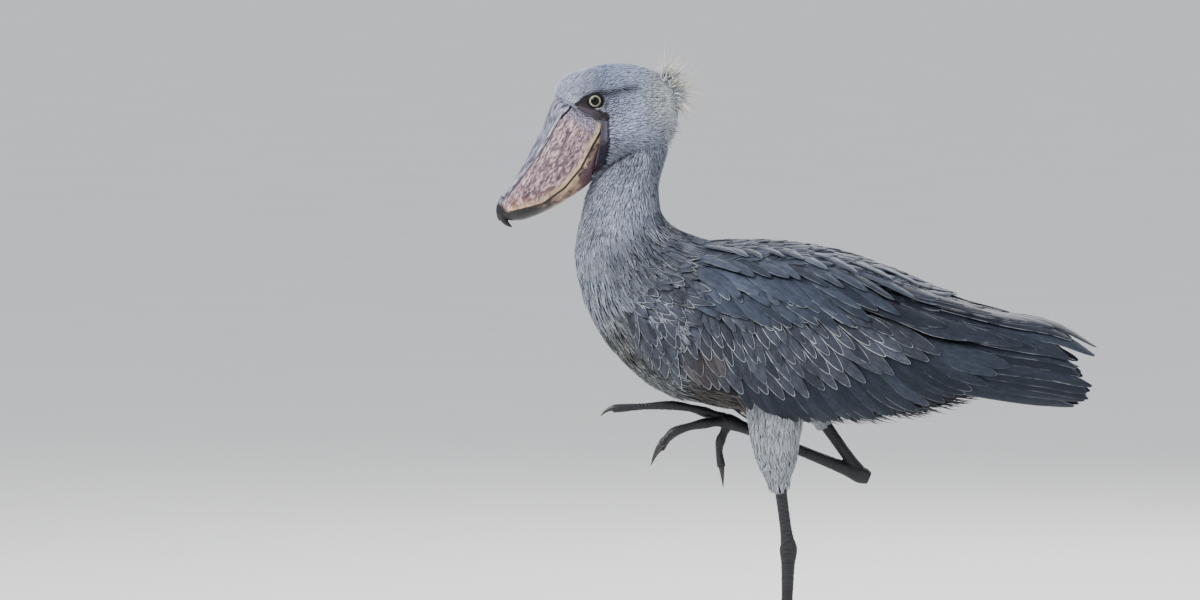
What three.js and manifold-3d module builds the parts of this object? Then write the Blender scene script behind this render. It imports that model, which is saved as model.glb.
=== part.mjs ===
// A life-size shoebill that wades to the left (-X) with its right foot lifted.
// Millimetres, +Z up, the floor at Z = 0. The bird's left side faces -Y.
// Flesh is lofted between a top and a bottom contour, limbs and toes along a bent
// centre line, and feathers are thin vanes laid in tiers on the folded wings' surface.
import * as THREE from "three";
import { mergeVertices } from "three/addons/utils/BufferGeometryUtils.js";
import Module from "manifold-3d";

const wasm = await Module();
wasm.setup();

// Driving dimensions
const GAP = 0.3; // clear space between pieces that touch
const LEFT = -1; // the side that faces -Y
const RIGHT = 1;
const TORSO_BOTTOM = 485; // height of the belly above the floor
const EYE_RADIUS = 13;
const EYE = { x: -330, y: 51, z: 997 };
const TOE_RADIUS = 8.5;
const TOE_TIP_RADIUS = 6;
const SOLE_FLAT = 0.7; // how much of a toe that bears weight is flattened by the floor
const TOES = { middle: 178, inner: 138, outer: 148, hind: 82 };
const CLAW = 22;
const PAD_DEPTH = 6.5; // how far the wing's solid core lies under the feathers' surface
const WING_REAR = 372; // where that core ends and the long feathers stand free
const FLESH_RINGS = 22;
const FLESH_SIDES = 18;
const HEAD_RINGS = 11;
const CREST_LOCKS = 18;
const TAIL_FEATHERS = 12;

const V = (x, y, z) => new THREE.Vector3(x, y, z);
const rad = THREE.MathUtils.degToRad;
const mix = THREE.MathUtils.lerp;
const clamp = THREE.MathUtils.clamp;

// Repeatable small variations, from -1 to 1
function wobbleFrom(seed) {
  let state = seed;
  return () => {
    state = (state * 16807) % 2147483647;
    return (state / 2147483647) * 2 - 1;
  };
}

// Solids: three.js geometries joined and cut by manifold-3d
function solidOf(geometry) {
  const bare = geometry.clone();
  for (const name of Object.keys(bare.attributes))
    if (name !== "position") bare.deleteAttribute(name);
  const merged = mergeVertices(bare, 1e-3);
  const vertProperties = new Float32Array(merged.attributes.position.array);
  const triVerts = new Uint32Array(merged.index.array);
  const make = () =>
    new wasm.Manifold(new wasm.Mesh({ numProp: 3, vertProperties, triVerts }));
  const solid = make();
  if (solid.volume() >= 0) return solid;
  for (let i = 0; i < triVerts.length; i += 3)
    [triVerts[i + 1], triVerts[i + 2]] = [triVerts[i + 2], triVerts[i + 1]];
  return make();
}

const volumeOf = (solid) => solid.volume();
const largest = (solid) =>
  solid.decompose().reduce((a, b) => (volumeOf(b) > volumeOf(a) ? b : a));
const fused = (...solids) => largest(solids.reduce((all, one) => all.add(one)));
const without = (solid, ...cutters) =>
  largest(cutters.reduce((rest, cutter) => rest.subtract(cutter), solid));

function box(low, high) {
  const size = V(...high).sub(V(...low));
  const centre = V(...low).addScaledVector(size, 0.5);
  const geometry = new THREE.BoxGeometry(size.x, size.y, size.z);
  return solidOf(geometry.translate(centre.x, centre.y, centre.z));
}

// A block cut by an outline in the X-Z plane, right through the bird
function sideBlock(outline, halfWidth) {
  const shape = new THREE.Shape(outline.map(([x, z]) => new THREE.Vector2(x, z)));
  const slab = new THREE.ExtrudeGeometry(shape, {
    depth: 2 * halfWidth,
    bevelEnabled: false,
  });
  return solidOf(slab.rotateX(Math.PI / 2).translate(0, halfWidth, 0));
}

// The part of a solid beyond a plane, on the side that the normal points to
function beyond(solid, point, normal, reach = 1600) {
  const turn = new THREE.Quaternion().setFromUnitVectors(V(0, 0, 1), normal);
  const block = new THREE.BoxGeometry(reach, reach, reach)
    .translate(0, 0, reach / 2)
    .applyQuaternion(turn)
    .translate(point.x, point.y, point.z);
  return largest(solid.intersect(solidOf(block)));
}

// A round loft: a sphere's rows become rings, and its two poles close the ends
function ringLoft(place, rings, around, ends) {
  const ball = new THREE.SphereGeometry(1, around, rings + 1);
  const points = ball.attributes.position;
  const pointAt = (row, turn) => {
    if (row === 0) return ends[0];
    if (row === rings + 1) return ends[1];
    return place((row - 1) / (rings - 1), turn);
  };
  for (let row = 0; row <= rings + 1; row++)
    for (let column = 0; column <= around; column++) {
      const point = pointAt(row, ((column % around) / around) * 2 * Math.PI);
      points.setXYZ(row * (around + 1) + column, point.x, point.y, point.z);
    }
  return solidOf(ball);
}

// A thin slab on a grid, split into triangles alike on both faces
function gridSlab(across, along, place) {
  const corners = [];
  const faces = [];
  const at = (i, j, side) => (side * (along + 1) + j) * (across + 1) + i;
  for (const side of [0, 1])
    for (let j = 0; j <= along; j++)
      for (let i = 0; i <= across; i++)
        corners.push(...place((2 * i) / across - 1, j / along, side).toArray());
  const quad = (a, b, c, d) => faces.push(a, b, c, a, c, d);
  for (let j = 0; j < along; j++)
    for (let i = 0; i < across; i++) {
      const [a, b, c, d] = [[i, j], [i + 1, j], [i + 1, j + 1], [i, j + 1]];
      quad(at(...a, 1), at(...b, 1), at(...c, 1), at(...d, 1));
      faces.push(at(...a, 0), at(...c, 0), at(...b, 0));
      faces.push(at(...a, 0), at(...d, 0), at(...c, 0));
    }
  for (let j = 0; j < along; j++) {
    const k = j + 1;
    quad(at(0, j, 0), at(0, j, 1), at(0, k, 1), at(0, k, 0));
    quad(at(across, j, 1), at(across, j, 0), at(across, k, 0), at(across, k, 1));
  }
  for (let i = 0; i < across; i++) {
    const k = i + 1;
    quad(at(i, 0, 0), at(k, 0, 0), at(k, 0, 1), at(i, 0, 1));
    quad(at(i, along, 1), at(k, along, 1), at(k, along, 0), at(i, along, 0));
  }
  const slab = new THREE.BufferGeometry();
  slab.setAttribute("position", new THREE.Float32BufferAttribute(corners, 3));
  return solidOf(slab.setIndex(faces));
}

// A skin: rings between a top and a bottom contour in the X-Z plane. along runs 0 to 1
// through the stations, and turn is 0 at the top and a quarter turn on the left side.
class Skin {
  constructor(stations) {
    const curve = (points) => new THREE.CatmullRomCurve3(points, false, "catmullrom", 0.5);
    this.top = curve(stations.map((s) => V(s.top[0], 0, s.top[1])));
    this.bottom = curve(stations.map((s) => V(s.bottom[0], 0, s.bottom[1])));
    this.sizes = curve(stations.map((s) => V(s.half, s.square ?? 2, s.low ?? 0)));
    this.facing = 1;
    const outward = this.onSurface(0.5, 0).sub(this.middle(0.5));
    this.facing = Math.sign(this.normal(0.5, 0).dot(outward));
  }

  middle(along) {
    return this.top.getPoint(along).lerp(this.bottom.getPoint(along), 0.5);
  }

  onSurface(along, turn) {
    const top = this.top.getPoint(along);
    const bottom = this.bottom.getPoint(along);
    const [half, square, low] = this.sizes.getPoint(along).toArray();
    const bulge = (wave) => Math.sign(wave) * Math.abs(wave) ** (2 / square);
    const up = bulge(Math.cos(turn));
    const out = bulge(Math.sin(turn)) * half * (1 - low * up);
    const middle = top.clone().lerp(bottom, 0.5);
    return middle.addScaledVector(top.sub(bottom), up / 2).add(V(0, -out, 0));
  }

  normal(along, turn) {
    const step = 1e-3;
    const s = clamp(along, step, 1 - step);
    const ahead = this.onSurface(s + step, turn).sub(this.onSurface(s - step, turn));
    const round = this.onSurface(s, turn + step).sub(this.onSurface(s, turn - step));
    return ahead.cross(round).normalize().multiplyScalar(this.facing);
  }

  at(along, turn, lift = 0) {
    return this.onSurface(along, turn).addScaledVector(this.normal(along, turn), lift);
  }

  // Where on a skin of upright rings the side view shows the point (x, z)
  alongAndTurn(x, z) {
    let [low, high] = [0, 1];
    for (let i = 0; i < 24; i++) {
      const s = (low + high) / 2;
      if (this.middle(s).x < x) low = s;
      else high = s;
    }
    const top = this.top.getPoint(low).z;
    const bottom = this.bottom.getPoint(low).z;
    const up = clamp((2 * z - top - bottom) / (top - bottom), -1, 1);
    const square = this.sizes.getPoint(low).y;
    return [low, Math.acos(Math.sign(up) * Math.abs(up) ** (square / 2))];
  }

  solid(rings, around, grow = 0, capOut = 0) {
    const end = (along, next) => {
      const outward = this.middle(along).sub(this.middle(next)).normalize();
      return this.middle(along).addScaledVector(outward, capOut + grow);
    };
    const place = (s, turn) => this.at(s, turn, grow);
    return ringLoft(place, rings, around, [end(0, 0.01), end(1, 0.99)]);
  }
}

// A limb: round or oval rings along a bent centre line through knots { at, r, wide },
// where wide is the half-width across the bird
function limb(knots, rings, around, grow = 0) {
  const line = new THREE.CatmullRomCurve3(knots.map((k) => V(...k.at)));
  const girths = knots.map((k) => V(k.r, k.wide ?? k.r, 0));
  const girth = new THREE.CatmullRomCurve3(girths, false, "catmullrom", 0.5);
  const place = (s, turn) => {
    const ahead = line.getTangent(s);
    const across = V(0, 1, 0).addScaledVector(ahead, -ahead.y).normalize();
    const up = ahead.clone().cross(across).normalize();
    const size = girth.getPoint(s);
    return line
      .getPoint(s)
      .addScaledVector(up, Math.cos(turn) * (size.x + grow))
      .addScaledVector(across, Math.sin(turn) * (size.y + grow));
  };
  const end = (s, sign) =>
    line.getPoint(s).addScaledVector(line.getTangent(s), sign * (grow + 0.6));
  return ringLoft(place, rings, around, [end(0, -1), end(1, 1)]);
}

// Half-width of a feather along its length, as a share of its widest
function bladeShare(t, root, tip) {
  const widest = 0.6;
  if (t < widest) return mix(root, 1, Math.sin((t / widest) * (Math.PI / 2)));
  const past = (t - widest) / (1 - widest);
  return Math.sqrt(1 - past * past * (1 - tip * tip));
}

// A feather on a skin, between two places seen from the side. Its root is sunk, its tip
// lifted, and it is rolled so that its lower edge lies over its neighbour.
function featherOn(skin, side, root, tip, shape) {
  const { half, thick = 1, sink = 9.5, lift = 4, roll = 0, along = 3 } = shape;
  const [s0, turn0] = skin.alongAndTurn(...root);
  const [s1, turn1] = skin.alongAndTurn(...tip);
  const turnAt = (t) => -side * mix(turn0, turn1, t);
  const rise = (t) => mix(-sink, lift, 1 - (1 - t) ** 2.2);
  const spine = (t) => skin.at(mix(s0, s1, t), turnAt(t), rise(t));
  return gridSlab(1, along, (u, v, face) => {
    const t = 1 - (1 - v) ** 1.3;
    const ahead = spine(Math.min(t + 0.02, 1)).sub(spine(Math.max(t - 0.02, 0)));
    const out = skin.normal(mix(s0, s1, t), turnAt(t));
    const down = ahead.cross(out).normalize().multiplyScalar(-side);
    const edge = down.multiplyScalar(Math.cos(roll)).addScaledVector(out, Math.sin(roll));
    return spine(t)
      .addScaledVector(edge, u * half * bladeShare(t, 0.55, 0.25))
      .addScaledVector(out, (face - 0.5) * thick);
  });
}

// Body and neck: one skin from the rump forwards and up into the head
const BODY = new Skin([
  { top: [352, 622], bottom: [342, 562], half: 18 },
  { top: [322, 638], bottom: [318, 538], half: 36 },
  { top: [262, 650], bottom: [254, 508], half: 64 },
  { top: [172, 686], bottom: [155, TORSO_BOTTOM + 3], half: 90 },
  { top: [89, 713], bottom: [64, TORSO_BOTTOM], half: 107, low: 0.02 },
  { top: [7, 734], bottom: [-26, TORSO_BOTTOM], half: 115, low: 0.04 },
  { top: [-76, 745], bottom: [-117, 493], half: 118, low: 0.04 },
  { top: [-145, 759], bottom: [-198, 513], half: 115, low: 0.04 },
  { top: [-191, 776], bottom: [-257, 549], half: 108, low: 0.02 },
  { top: [-214, 791], bottom: [-310, 606], half: 95 },
  { top: [-225, 812], bottom: [-345, 672], half: 80 },
  { top: [-229, 837], bottom: [-361, 731], half: 68 },
  { top: [-228, 863], bottom: [-358, 774], half: 59 },
  { top: [-221, 891], bottom: [-350, 812], half: 53 },
  { top: [-213, 921], bottom: [-343, 842], half: 50 },
  { top: [-216, 953], bottom: [-322, 888], half: 44 },
]);

const HEAD = new Skin([
  { top: [-195, 1000], bottom: [-196, 968], half: 18 },
  { top: [-208, 1031], bottom: [-204, 938], half: 40 },
  { top: [-244, 1049], bottom: [-226, 911], half: 55, square: 2.1 },
  { top: [-287, 1058], bottom: [-258, 896], half: 62, square: 2.25, low: 0.03 },
  { top: [-330, 1054], bottom: [-289, 887], half: 63, square: 2.3, low: 0.07 },
  { top: [-368, 1039], bottom: [-313, 872], half: 58, square: 2.3, low: 0.1 },
  { top: [-394, 1014], bottom: [-330, 864], half: 50, square: 2.3, low: 0.1 },
]);

// The bill, from behind the corner of the mouth to its tip, both halves together
const BILL_STATIONS = [
  { top: [-337, 972], bottom: [-312, 942], half: 45, square: 2.5 },
  { top: [-365, 990], bottom: [-310, 919], half: 52, square: 2.5 },
  { top: [-386, 998], bottom: [-317, 898], half: 56, square: 2.5 },
  { top: [-400, 993], bottom: [-325, 879], half: 59, square: 2.5 },
  { top: [-416, 952], bottom: [-342, 860], half: 60, square: 2.5 },
  { top: [-432, 920], bottom: [-363, 844], half: 58, square: 2.5 },
  { top: [-451, 884], bottom: [-394, 824], half: 52, square: 2.4 },
  { top: [-469, 855], bottom: [-426, 809], half: 43, square: 2.3 },
  { top: [-481, 836], bottom: [-449, 801], half: 32, square: 2.2 },
  { top: [-489, 821], bottom: [-468, 799], half: 17, square: 2.1 },
];
const BILL_REAR_BULGE = 14;
const BILL_RINGS = 12;
const BILL_SIDES = 16;
const BILL = new Skin(BILL_STATIONS);
const LOWER_TRIM = 4; // the lower bill is narrower, inside the upper one's edge
const LOWER_BILL = new Skin(
  BILL_STATIONS.map((s) => ({ ...s, half: s.half - LOWER_TRIM })),
);

// The line of the mouth in the side view, from its corner under the eye to the hook
const MOUTH = [
  [-318, 968],
  [-322, 948],
  [-337, 922],
  [-354, 889],
  [-381, 856],
  [-418, 829],
  [-470, 815],
];

// The folded wings' outer surface: upright rings from the shoulders to the wing tips
const CLOAK = new Skin([
  { top: [-276, 690], bottom: [-276, 604], half: 92 },
  { top: [-250, 722], bottom: [-250, 562], half: 112 },
  { top: [-210, 746], bottom: [-210, 522], half: 126 },
  { top: [-158, 760], bottom: [-158, 474], half: 133 },
  { top: [-60, 762], bottom: [-60, 448], half: 137 },
  { top: [40, 752], bottom: [40, 442], half: 134 },
  { top: [139, 723], bottom: [139, 446], half: 121 },
  { top: [238, 682], bottom: [238, 460], half: 103 },
  { top: [337, 653], bottom: [337, 480], half: 82 },
  { top: [420, 634], bottom: [420, 488], half: 65 },
  { top: [492, 590], bottom: [492, 490], half: 54 },
]);

// The room between the wings, for the belly, the thighs and the tail
const BETWEEN_WINGS = new Skin([
  { top: [-340, 560], bottom: [-340, 400], half: 74, square: 3 },
  { top: [-215, 550], bottom: [-215, 400], half: 94, square: 3 },
  { top: [-60, 556], bottom: [-60, 400], half: 107, square: 3 },
  { top: [90, 556], bottom: [90, 400], half: 103, square: 3 },
  { top: [200, 572], bottom: [200, 400], half: 84, square: 3 },
  { top: [300, 606], bottom: [300, 400], half: 66, square: 3 },
  { top: [372, 622], bottom: [372, 400], half: 66, square: 3 },
  { top: [500, 622], bottom: [500, 400], half: 66, square: 3 },
]);

const FINISH = {
  pale_plumage: { color: 0x98a1a9, roughness: 0.9 },
  slate_plumage: { color: 0x5d656e, roughness: 0.85 },
  flight_feathers: { color: 0x3f4750, roughness: 0.7 },
  bill_horn: { color: 0xb79a90, roughness: 0.5 },
  eye: { color: 0xd8d6b4, roughness: 0.1 },
  leg_skin: { color: 0x24242a, roughness: 0.7 },
  claw_horn: { color: 0x1b1a1c, roughness: 0.4 },
};

const bird = new THREE.Group();
const placed = new THREE.Group();
bird.add(placed);

function addNode(name, solid, finish) {
  const { vertProperties, triVerts, numProp } = solid.getMesh();
  const places = new Float32Array((vertProperties.length / numProp) * 3);
  for (let i = 0; i < places.length / 3; i++)
    places.set(vertProperties.subarray(i * numProp, i * numProp + 3), i * 3);
  const geometry = new THREE.BufferGeometry();
  geometry.setAttribute("position", new THREE.BufferAttribute(places, 3));
  geometry.setIndex(new THREE.BufferAttribute(new Uint32Array(triVerts), 1));
  geometry.computeVertexNormals();
  const material = new THREE.MeshStandardMaterial(FINISH[finish]);
  const mesh = new THREE.Mesh(geometry, material);
  mesh.name = name;
  placed.add(mesh);
}

// Body, neck and head: one form, parted by two plane cuts
const NECK_FOOT = { at: V(-292, 0, 759), up: V(-0.586, 0, 0.81).normalize() };
const NECK_HEAD = { at: V(-270, 0, 902), up: V(-0.519, 0, 0.855).normalize() };
const above = (solid, cut) =>
  beyond(solid, cut.at.clone().addScaledVector(cut.up, GAP / 2), cut.up);
const below = (solid, cut) =>
  beyond(solid, cut.at.clone().addScaledVector(cut.up, -GAP / 2), cut.up.clone().negate());

const SKIN_ROOM = GAP + 0.15; // the clear space round the skins, with the loft's facets allowed for
const flesh = BODY.solid(FLESH_RINGS, FLESH_SIDES);
const fleshRoom = BODY.solid(FLESH_RINGS, FLESH_SIDES, SKIN_ROOM);
const skull = (grow) => HEAD.solid(HEAD_RINGS, FLESH_SIDES, grow, 2);
const neckAndHead = flesh.add(skull(0));
addNode("torso", below(flesh, NECK_FOOT), "slate_plumage");
addNode("neck", below(above(neckAndHead, NECK_FOOT), NECK_HEAD), "pale_plumage");

// The bill: two halves parted along the line of the mouth
function billHook(grow) {
  const knots = [
    { at: [-474, 0, 834], r: 12, wide: 13 },
    { at: [-482, 0, 819], r: 10, wide: 11 },
    { at: [-483, 0, 806], r: 7, wide: 9 },
    { at: [-478, 0, 796], r: 4.5, wide: 6 },
    { at: [-469, 0, 789], r: 1.2, wide: 1.4 },
  ];
  return limb(knots, 7, 8, grow);
}

function alongBill(turn, lift, from, to, r, count) {
  const at = (i) => BILL.at(mix(from, to, i / (count - 1)), turn, lift).toArray();
  return Array.from({ length: count }, (_, i) => ({ at: at(i), r }));
}

function aboveMouth(shift) {
  const line = MOUTH.map(([x, z]) => [x + shift, z - shift]);
  const [firstX] = line[0];
  const lastZ = line.at(-1)[1];
  return sideBlock([[firstX, 1100], ...line, [-560, lastZ], [-560, 1100]], 90);
}

function upperBill() {
  const whole = BILL.solid(BILL_RINGS, BILL_SIDES, 0, BILL_REAR_BULGE);
  const keel = limb(alongBill(0, -6.5, 0.3, 0.97, 9, 6), 8, 6);
  let upper = fused(whole.intersect(aboveMouth(0)), keel, billHook(0));
  for (const side of [LEFT, RIGHT]) {
    const groove = limb(alongBill(-side * 0.62, 0.3, 0.35, 0.92, 1.6, 6), 8, 5);
    const nostril = limb(alongBill(-side * 0.62, -1, 0.24, 0.36, 2.1, 3), 4, 6);
    upper = without(upper, groove, nostril);
  }
  return upper;
}

const upper = upperBill();
const lowerWhole = LOWER_BILL.solid(BILL_RINGS, BILL_SIDES, 0, BILL_REAR_BULGE);
const lower = without(lowerWhole, aboveMouth(0.4), billHook(GAP + 0.2));

// Eyes, lids and brows
function eyeball(side, grow = 0) {
  const ball = new THREE.SphereGeometry(EYE_RADIUS + grow, 12, 7).rotateX(Math.PI / 2);
  return solidOf(ball.translate(EYE.x, side * EYE.y, EYE.z));
}

function lids(side) {
  const ring = new THREE.TorusGeometry(EYE_RADIUS - 0.4, 3, 4, 12);
  return solidOf(
    ring.rotateX(Math.PI / 2).translate(EYE.x, side * (EYE.y + 6.5), EYE.z),
  );
}

function brow(side) {
  const knots = [
    { at: [EYE.x - 28, side * 48, EYE.z + 12], r: 4 },
    { at: [EYE.x - 12, side * 54, EYE.z + 19], r: 6.5 },
    { at: [EYE.x + 10, side * 55, EYE.z + 20], r: 6.5 },
    { at: [EYE.x + 34, side * 52, EYE.z + 15], r: 4 },
  ];
  return limb(knots, 6, 6);
}

// The crest: flat tapered locks in three files down the back of the head. They stand up
// at the top of the nape and lie closer and point lower further down.
function crestLock(share, file, wobble) {
  const along = mix(0.3, 0.07, Math.sin((Math.PI / 2) * Math.min(share * 2, 1)));
  const turn = -file * rad(mix(16, 84, share));
  const root = HEAD.at(along, turn, -6);
  const lean = rad(mix(66, -52, share) + 7 * wobble());
  const aim = V(Math.cos(lean), file * 0.22, Math.sin(lean)).normalize();
  const length = mix(44, 30, share) * (1 + 0.16 * wobble());
  const curl = V(mix(-9, 6, share), file * 3, mix(4, -8, share));
  const out = V(0.25, file, 0.15 * wobble()).normalize();
  const facing = file === 0 ? V(-Math.sin(lean), 0.5 * wobble(), Math.cos(lean)) : out;
  const across = aim.clone().cross(facing).normalize();
  const flat = aim.clone().cross(across).normalize();
  return gridSlab(1, 3, (u, v, face) =>
    root
      .clone()
      .addScaledVector(aim, v * length)
      .addScaledVector(curl, v * v)
      .addScaledVector(across, u * 8 * bladeShare(v, 0.7, 0.22))
      .addScaledVector(flat, (face - 0.5) * mix(3, 1, v)),
  );
}

function crest() {
  const wobble = wobbleFrom(41);
  const perFile = CREST_LOCKS / 3;
  return [LEFT, 0, RIGHT].flatMap((file) =>
    Array.from({ length: perFile }, (_, i) =>
      crestLock((i + (file === 0 ? 0.2 : 0.6)) / perFile, file, wobble),
    ),
  );
}

function head() {
  const bare = above(neckAndHead, NECK_HEAD);
  const raised = [LEFT, RIGHT].flatMap((side) => [lids(side), brow(side)]);
  const dressed = fused(bare, ...raised, ...crest());
  const billRoom = BILL.solid(BILL_RINGS, BILL_SIDES, GAP + 0.1, BILL_REAR_BULGE);
  const grown = fleshRoom.add(skull(SKIN_ROOM));
  const neckRoom = beyond(grown, NECK_HEAD.at, NECK_HEAD.up.clone().negate());
  const sockets = [LEFT, RIGHT].map((side) => eyeball(side, GAP));
  return without(dressed, billRoom, neckRoom, ...sockets);
}

addNode("head", head(), "pale_plumage");
addNode("bill_upper", upper, "bill_horn");
addNode("bill_lower", lower, "bill_horn");
addNode("eye_left", eyeball(LEFT), "eye");
addNode("eye_right", eyeball(RIGHT), "eye");

// Rows of wing feathers. Roots and tips run from the first to the last feather of the
// row, bowed by a middle point, as seen from the left side.
const WING_ROWS = [
  {
    name: "primaries",
    count: 6,
    roots: [[215, 548], [232, 572], [262, 604]],
    tips: [[474, 503], [482, 528], [452, 566]],
    shape: { half: 15, lift: 2.5, roll: 0.1, along: 4 },
  },
  {
    name: "secondaries",
    count: 7,
    roots: [[-110, 580], [30, 600], [180, 622]],
    tips: [[-62, 494], [160, 486], [334, 568]],
    shape: { half: 19, lift: 3.5, roll: 0.1, along: 4 },
  },
  {
    name: "greater coverts",
    count: 8,
    roots: [[-200, 612], [-60, 610], [130, 650]],
    tips: [[-162, 545], [30, 522], [246, 590]],
    shape: { half: 17, lift: 4.5, roll: 0.1 },
  },
  {
    name: "median coverts",
    count: 7,
    roots: [[-215, 650], [-70, 644], [90, 660]],
    tips: [[-182, 592], [-10, 578], [172, 618]],
    shape: { half: 14, lift: 5, roll: 0.12 },
  },
  {
    name: "lesser coverts",
    count: 6,
    roots: [[-232, 690], [-120, 680], [10, 690]],
    tips: [[-206, 630], [-70, 618], [92, 644]],
    shape: { half: 14, lift: 5.5, roll: 0.12 },
  },
  {
    name: "lower scapulars",
    count: 5,
    roots: [[-205, 712], [-120, 708], [-10, 716]],
    tips: [[-152, 668], [-30, 642], [112, 648]],
    shape: { half: 19, lift: 7, roll: 0.1 },
  },
  {
    name: "middle scapulars",
    count: 4,
    roots: [[-180, 738], [-90, 738], [20, 736]],
    tips: [[-112, 702], [10, 684], [160, 676]],
    shape: { half: 19, lift: 8, roll: 0.1 },
  },
  {
    name: "upper scapulars",
    count: 3,
    roots: [[-130, 755], [-50, 757], [30, 749]],
    tips: [[-40, 732], [50, 722], [150, 702]],
    shape: { half: 17, lift: 8, roll: 0.08 },
  },
  {
    name: "tertials",
    count: 5,
    roots: [[90, 688], [170, 668], [250, 640]],
    tips: [[232, 638], [352, 614], [487, 583]],
    shape: { half: 25, lift: 6, roll: 0.08, along: 4 },
  },
];

// A bowed line through three points, with its middle one half way
const bow = (points, t) => {
  const [a, b, c] = points.map(([x, z]) => new THREE.Vector2(x, z));
  const pull = b.clone().multiplyScalar(2).sub(a.clone().lerp(c, 0.5));
  return new THREE.QuadraticBezierCurve(a, pull, c).getPoint(t).toArray();
};

function wingCore(side) {
  const whole = CLOAK.solid(16, 22, -PAD_DEPTH);
  const outside = side === LEFT ? [-300, -GAP] : [GAP, 300];
  const half = box([-600, outside[0], 0], [WING_REAR, outside[1], 1200]);
  return without(whole.intersect(half), fleshRoom, BETWEEN_WINGS.solid(12, 16));
}

function wingFeathers(side) {
  const wobble = wobbleFrom(side === LEFT ? 7 : 23);
  const feathers = [];
  for (const row of WING_ROWS)
    for (let i = 0; i < row.count; i++) {
      const share = i / (row.count - 1);
      const [rootX, rootZ] = bow(row.roots, share);
      const [tipX, tipZ] = bow(row.tips, share);
      const root = [rootX + 3 * wobble(), rootZ];
      const tip = [tipX + 5 * wobble(), tipZ + 3 * wobble()];
      feathers.push(featherOn(CLOAK, side, root, tip, row.shape));
    }
  return feathers;
}

function wing(side) {
  const [near, far] = side === LEFT ? [-GAP, 300] : [-300, GAP];
  const otherSide = box([-600, near, 0], [600, far, 1200]);
  const feathered = fused(wingCore(side), ...wingFeathers(side));
  return without(feathered, otherSide, fleshRoom, ...thighRooms);
}

// The tail: stiff feathers in a shallow tent, fanned from the rump
function tailRoot(grow = 0) {
  const knots = [
    { at: [300, 0, 596], r: 30, wide: 30 },
    { at: [340, 0, 590], r: 25, wide: 28 },
    { at: [366, 0, 584], r: 12, wide: 20 },
  ];
  return limb(knots, 5, 12, grow);
}

function tailFeather(place) {
  const from = Math.abs(place);
  const root = V(322, place * 1.6, 606 - from * 1.7);
  const tip = V(476 - from * 3, place * 5.6, 560 - from * 5.5);
  const tilt = rad(place * 5);
  const across = V(0, Math.cos(tilt), -Math.sin(tilt));
  const up = V(0, Math.sin(tilt), Math.cos(tilt));
  return gridSlab(1, 3, (u, v, face) => {
    const droop = 5 * Math.sin(Math.PI * v);
    return root
      .clone()
      .lerp(tip, v)
      .addScaledVector(across, u * 14 * bladeShare(v, 0.5, 0.35))
      .addScaledVector(up, (face - 0.5) * 1.1 + droop);
  });
}

function tail() {
  const middle = (TAIL_FEATHERS - 1) / 2;
  const places = Array.from({ length: TAIL_FEATHERS }, (_, i) => i - middle);
  return without(fused(tailRoot(), ...places.map(tailFeather)), fleshRoom);
}

// Legs. The left one stands straight in the water; the right one is lifted, its shank
// sloping back to the ankle and its foot hanging forward under the breast.
const LEG_LEFT = {
  side: LEFT,
  thigh: [
    { at: [-36, -56, 540], r: 52, wide: 34 },
    { at: [-34, -54, 490], r: 47, wide: 38 },
    { at: [-34, -50, 446], r: 40, wide: 34 },
    { at: [-31, -46, 400], r: 30, wide: 26 },
    { at: [-29, -43, 376], r: 20, wide: 18 },
  ],
  ankle: [-12, -24, 258],
  heel: [-18, -8, 18],
};
const LEG_RIGHT = {
  side: RIGHT,
  thigh: [
    { at: [-8, 52, 552], r: 44, wide: 34 },
    { at: [14, 54, 516], r: 34, wide: 30 },
    { at: [30, 55, 486], r: 24, wide: 22 },
    { at: [40, 55, 470], r: 15, wide: 15 },
  ],
  ankle: [109, 52, 375],
  heel: [-117, 42, 467],
};

const SHANK_R = 9.5;
const ANKLE_R = 14.5;
const TARSUS_R = 9;

function shankOf(leg, grow = 0) {
  const start = V(...leg.thigh.at(-2).at);
  const end = V(...leg.ankle);
  const at = (t) => start.clone().lerp(end, t).toArray();
  const knots = [
    { at: at(0), r: SHANK_R + 2 },
    { at: at(0.4), r: SHANK_R },
    { at: at(0.75), r: SHANK_R },
    { at: at(0.96), r: SHANK_R + 2.5 },
  ];
  return limb(knots, 4, 10, grow);
}

function tarsusOf(leg, grow = 0) {
  const ankle = V(...leg.ankle);
  const heel = V(...leg.heel);
  const down = heel.clone().sub(ankle).normalize();
  const at = (t, past = 0) =>
    ankle.clone().lerp(heel, t).addScaledVector(down, past).toArray();
  const knots = [
    { at: at(0, -ANKLE_R), r: ANKLE_R * 0.72 },
    { at: at(0, 2), r: ANKLE_R, wide: ANKLE_R * 0.9 },
    { at: at(0.13), r: TARSUS_R + 2 },
    { at: at(0.4), r: TARSUS_R, wide: TARSUS_R * 0.85 },
    { at: at(0.8), r: TARSUS_R, wide: TARSUS_R * 0.95 },
    { at: at(0.95), r: TARSUS_R + 3.5 },
    { at: at(1, 6), r: TARSUS_R + 2, wide: TARSUS_R + 4 },
  ];
  return limb(knots, 10, 10, grow);
}

// A toe: swollen pads along a route, narrowing to the claw
function toeRoute(points) {
  return new THREE.CatmullRomCurve3(points.map((p) => V(...p)));
}

function toeOf(points, pads, grow = 0) {
  const route = toeRoute(points);
  const steps = pads * 2;
  const knots = Array.from({ length: steps + 1 }, (_, i) => {
    const t = i / steps;
    const r = mix(TOE_RADIUS, TOE_TIP_RADIUS, t) + 0.9 * Math.cos(2 * Math.PI * pads * t);
    const at = route.getPointAt(t);
    if (at.z < TOE_RADIUS + 1) at.z = r - SOLE_FLAT;
    return { at: at.toArray(), r };
  });
  return limb(knots, steps + 1, 8, grow);
}

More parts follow.
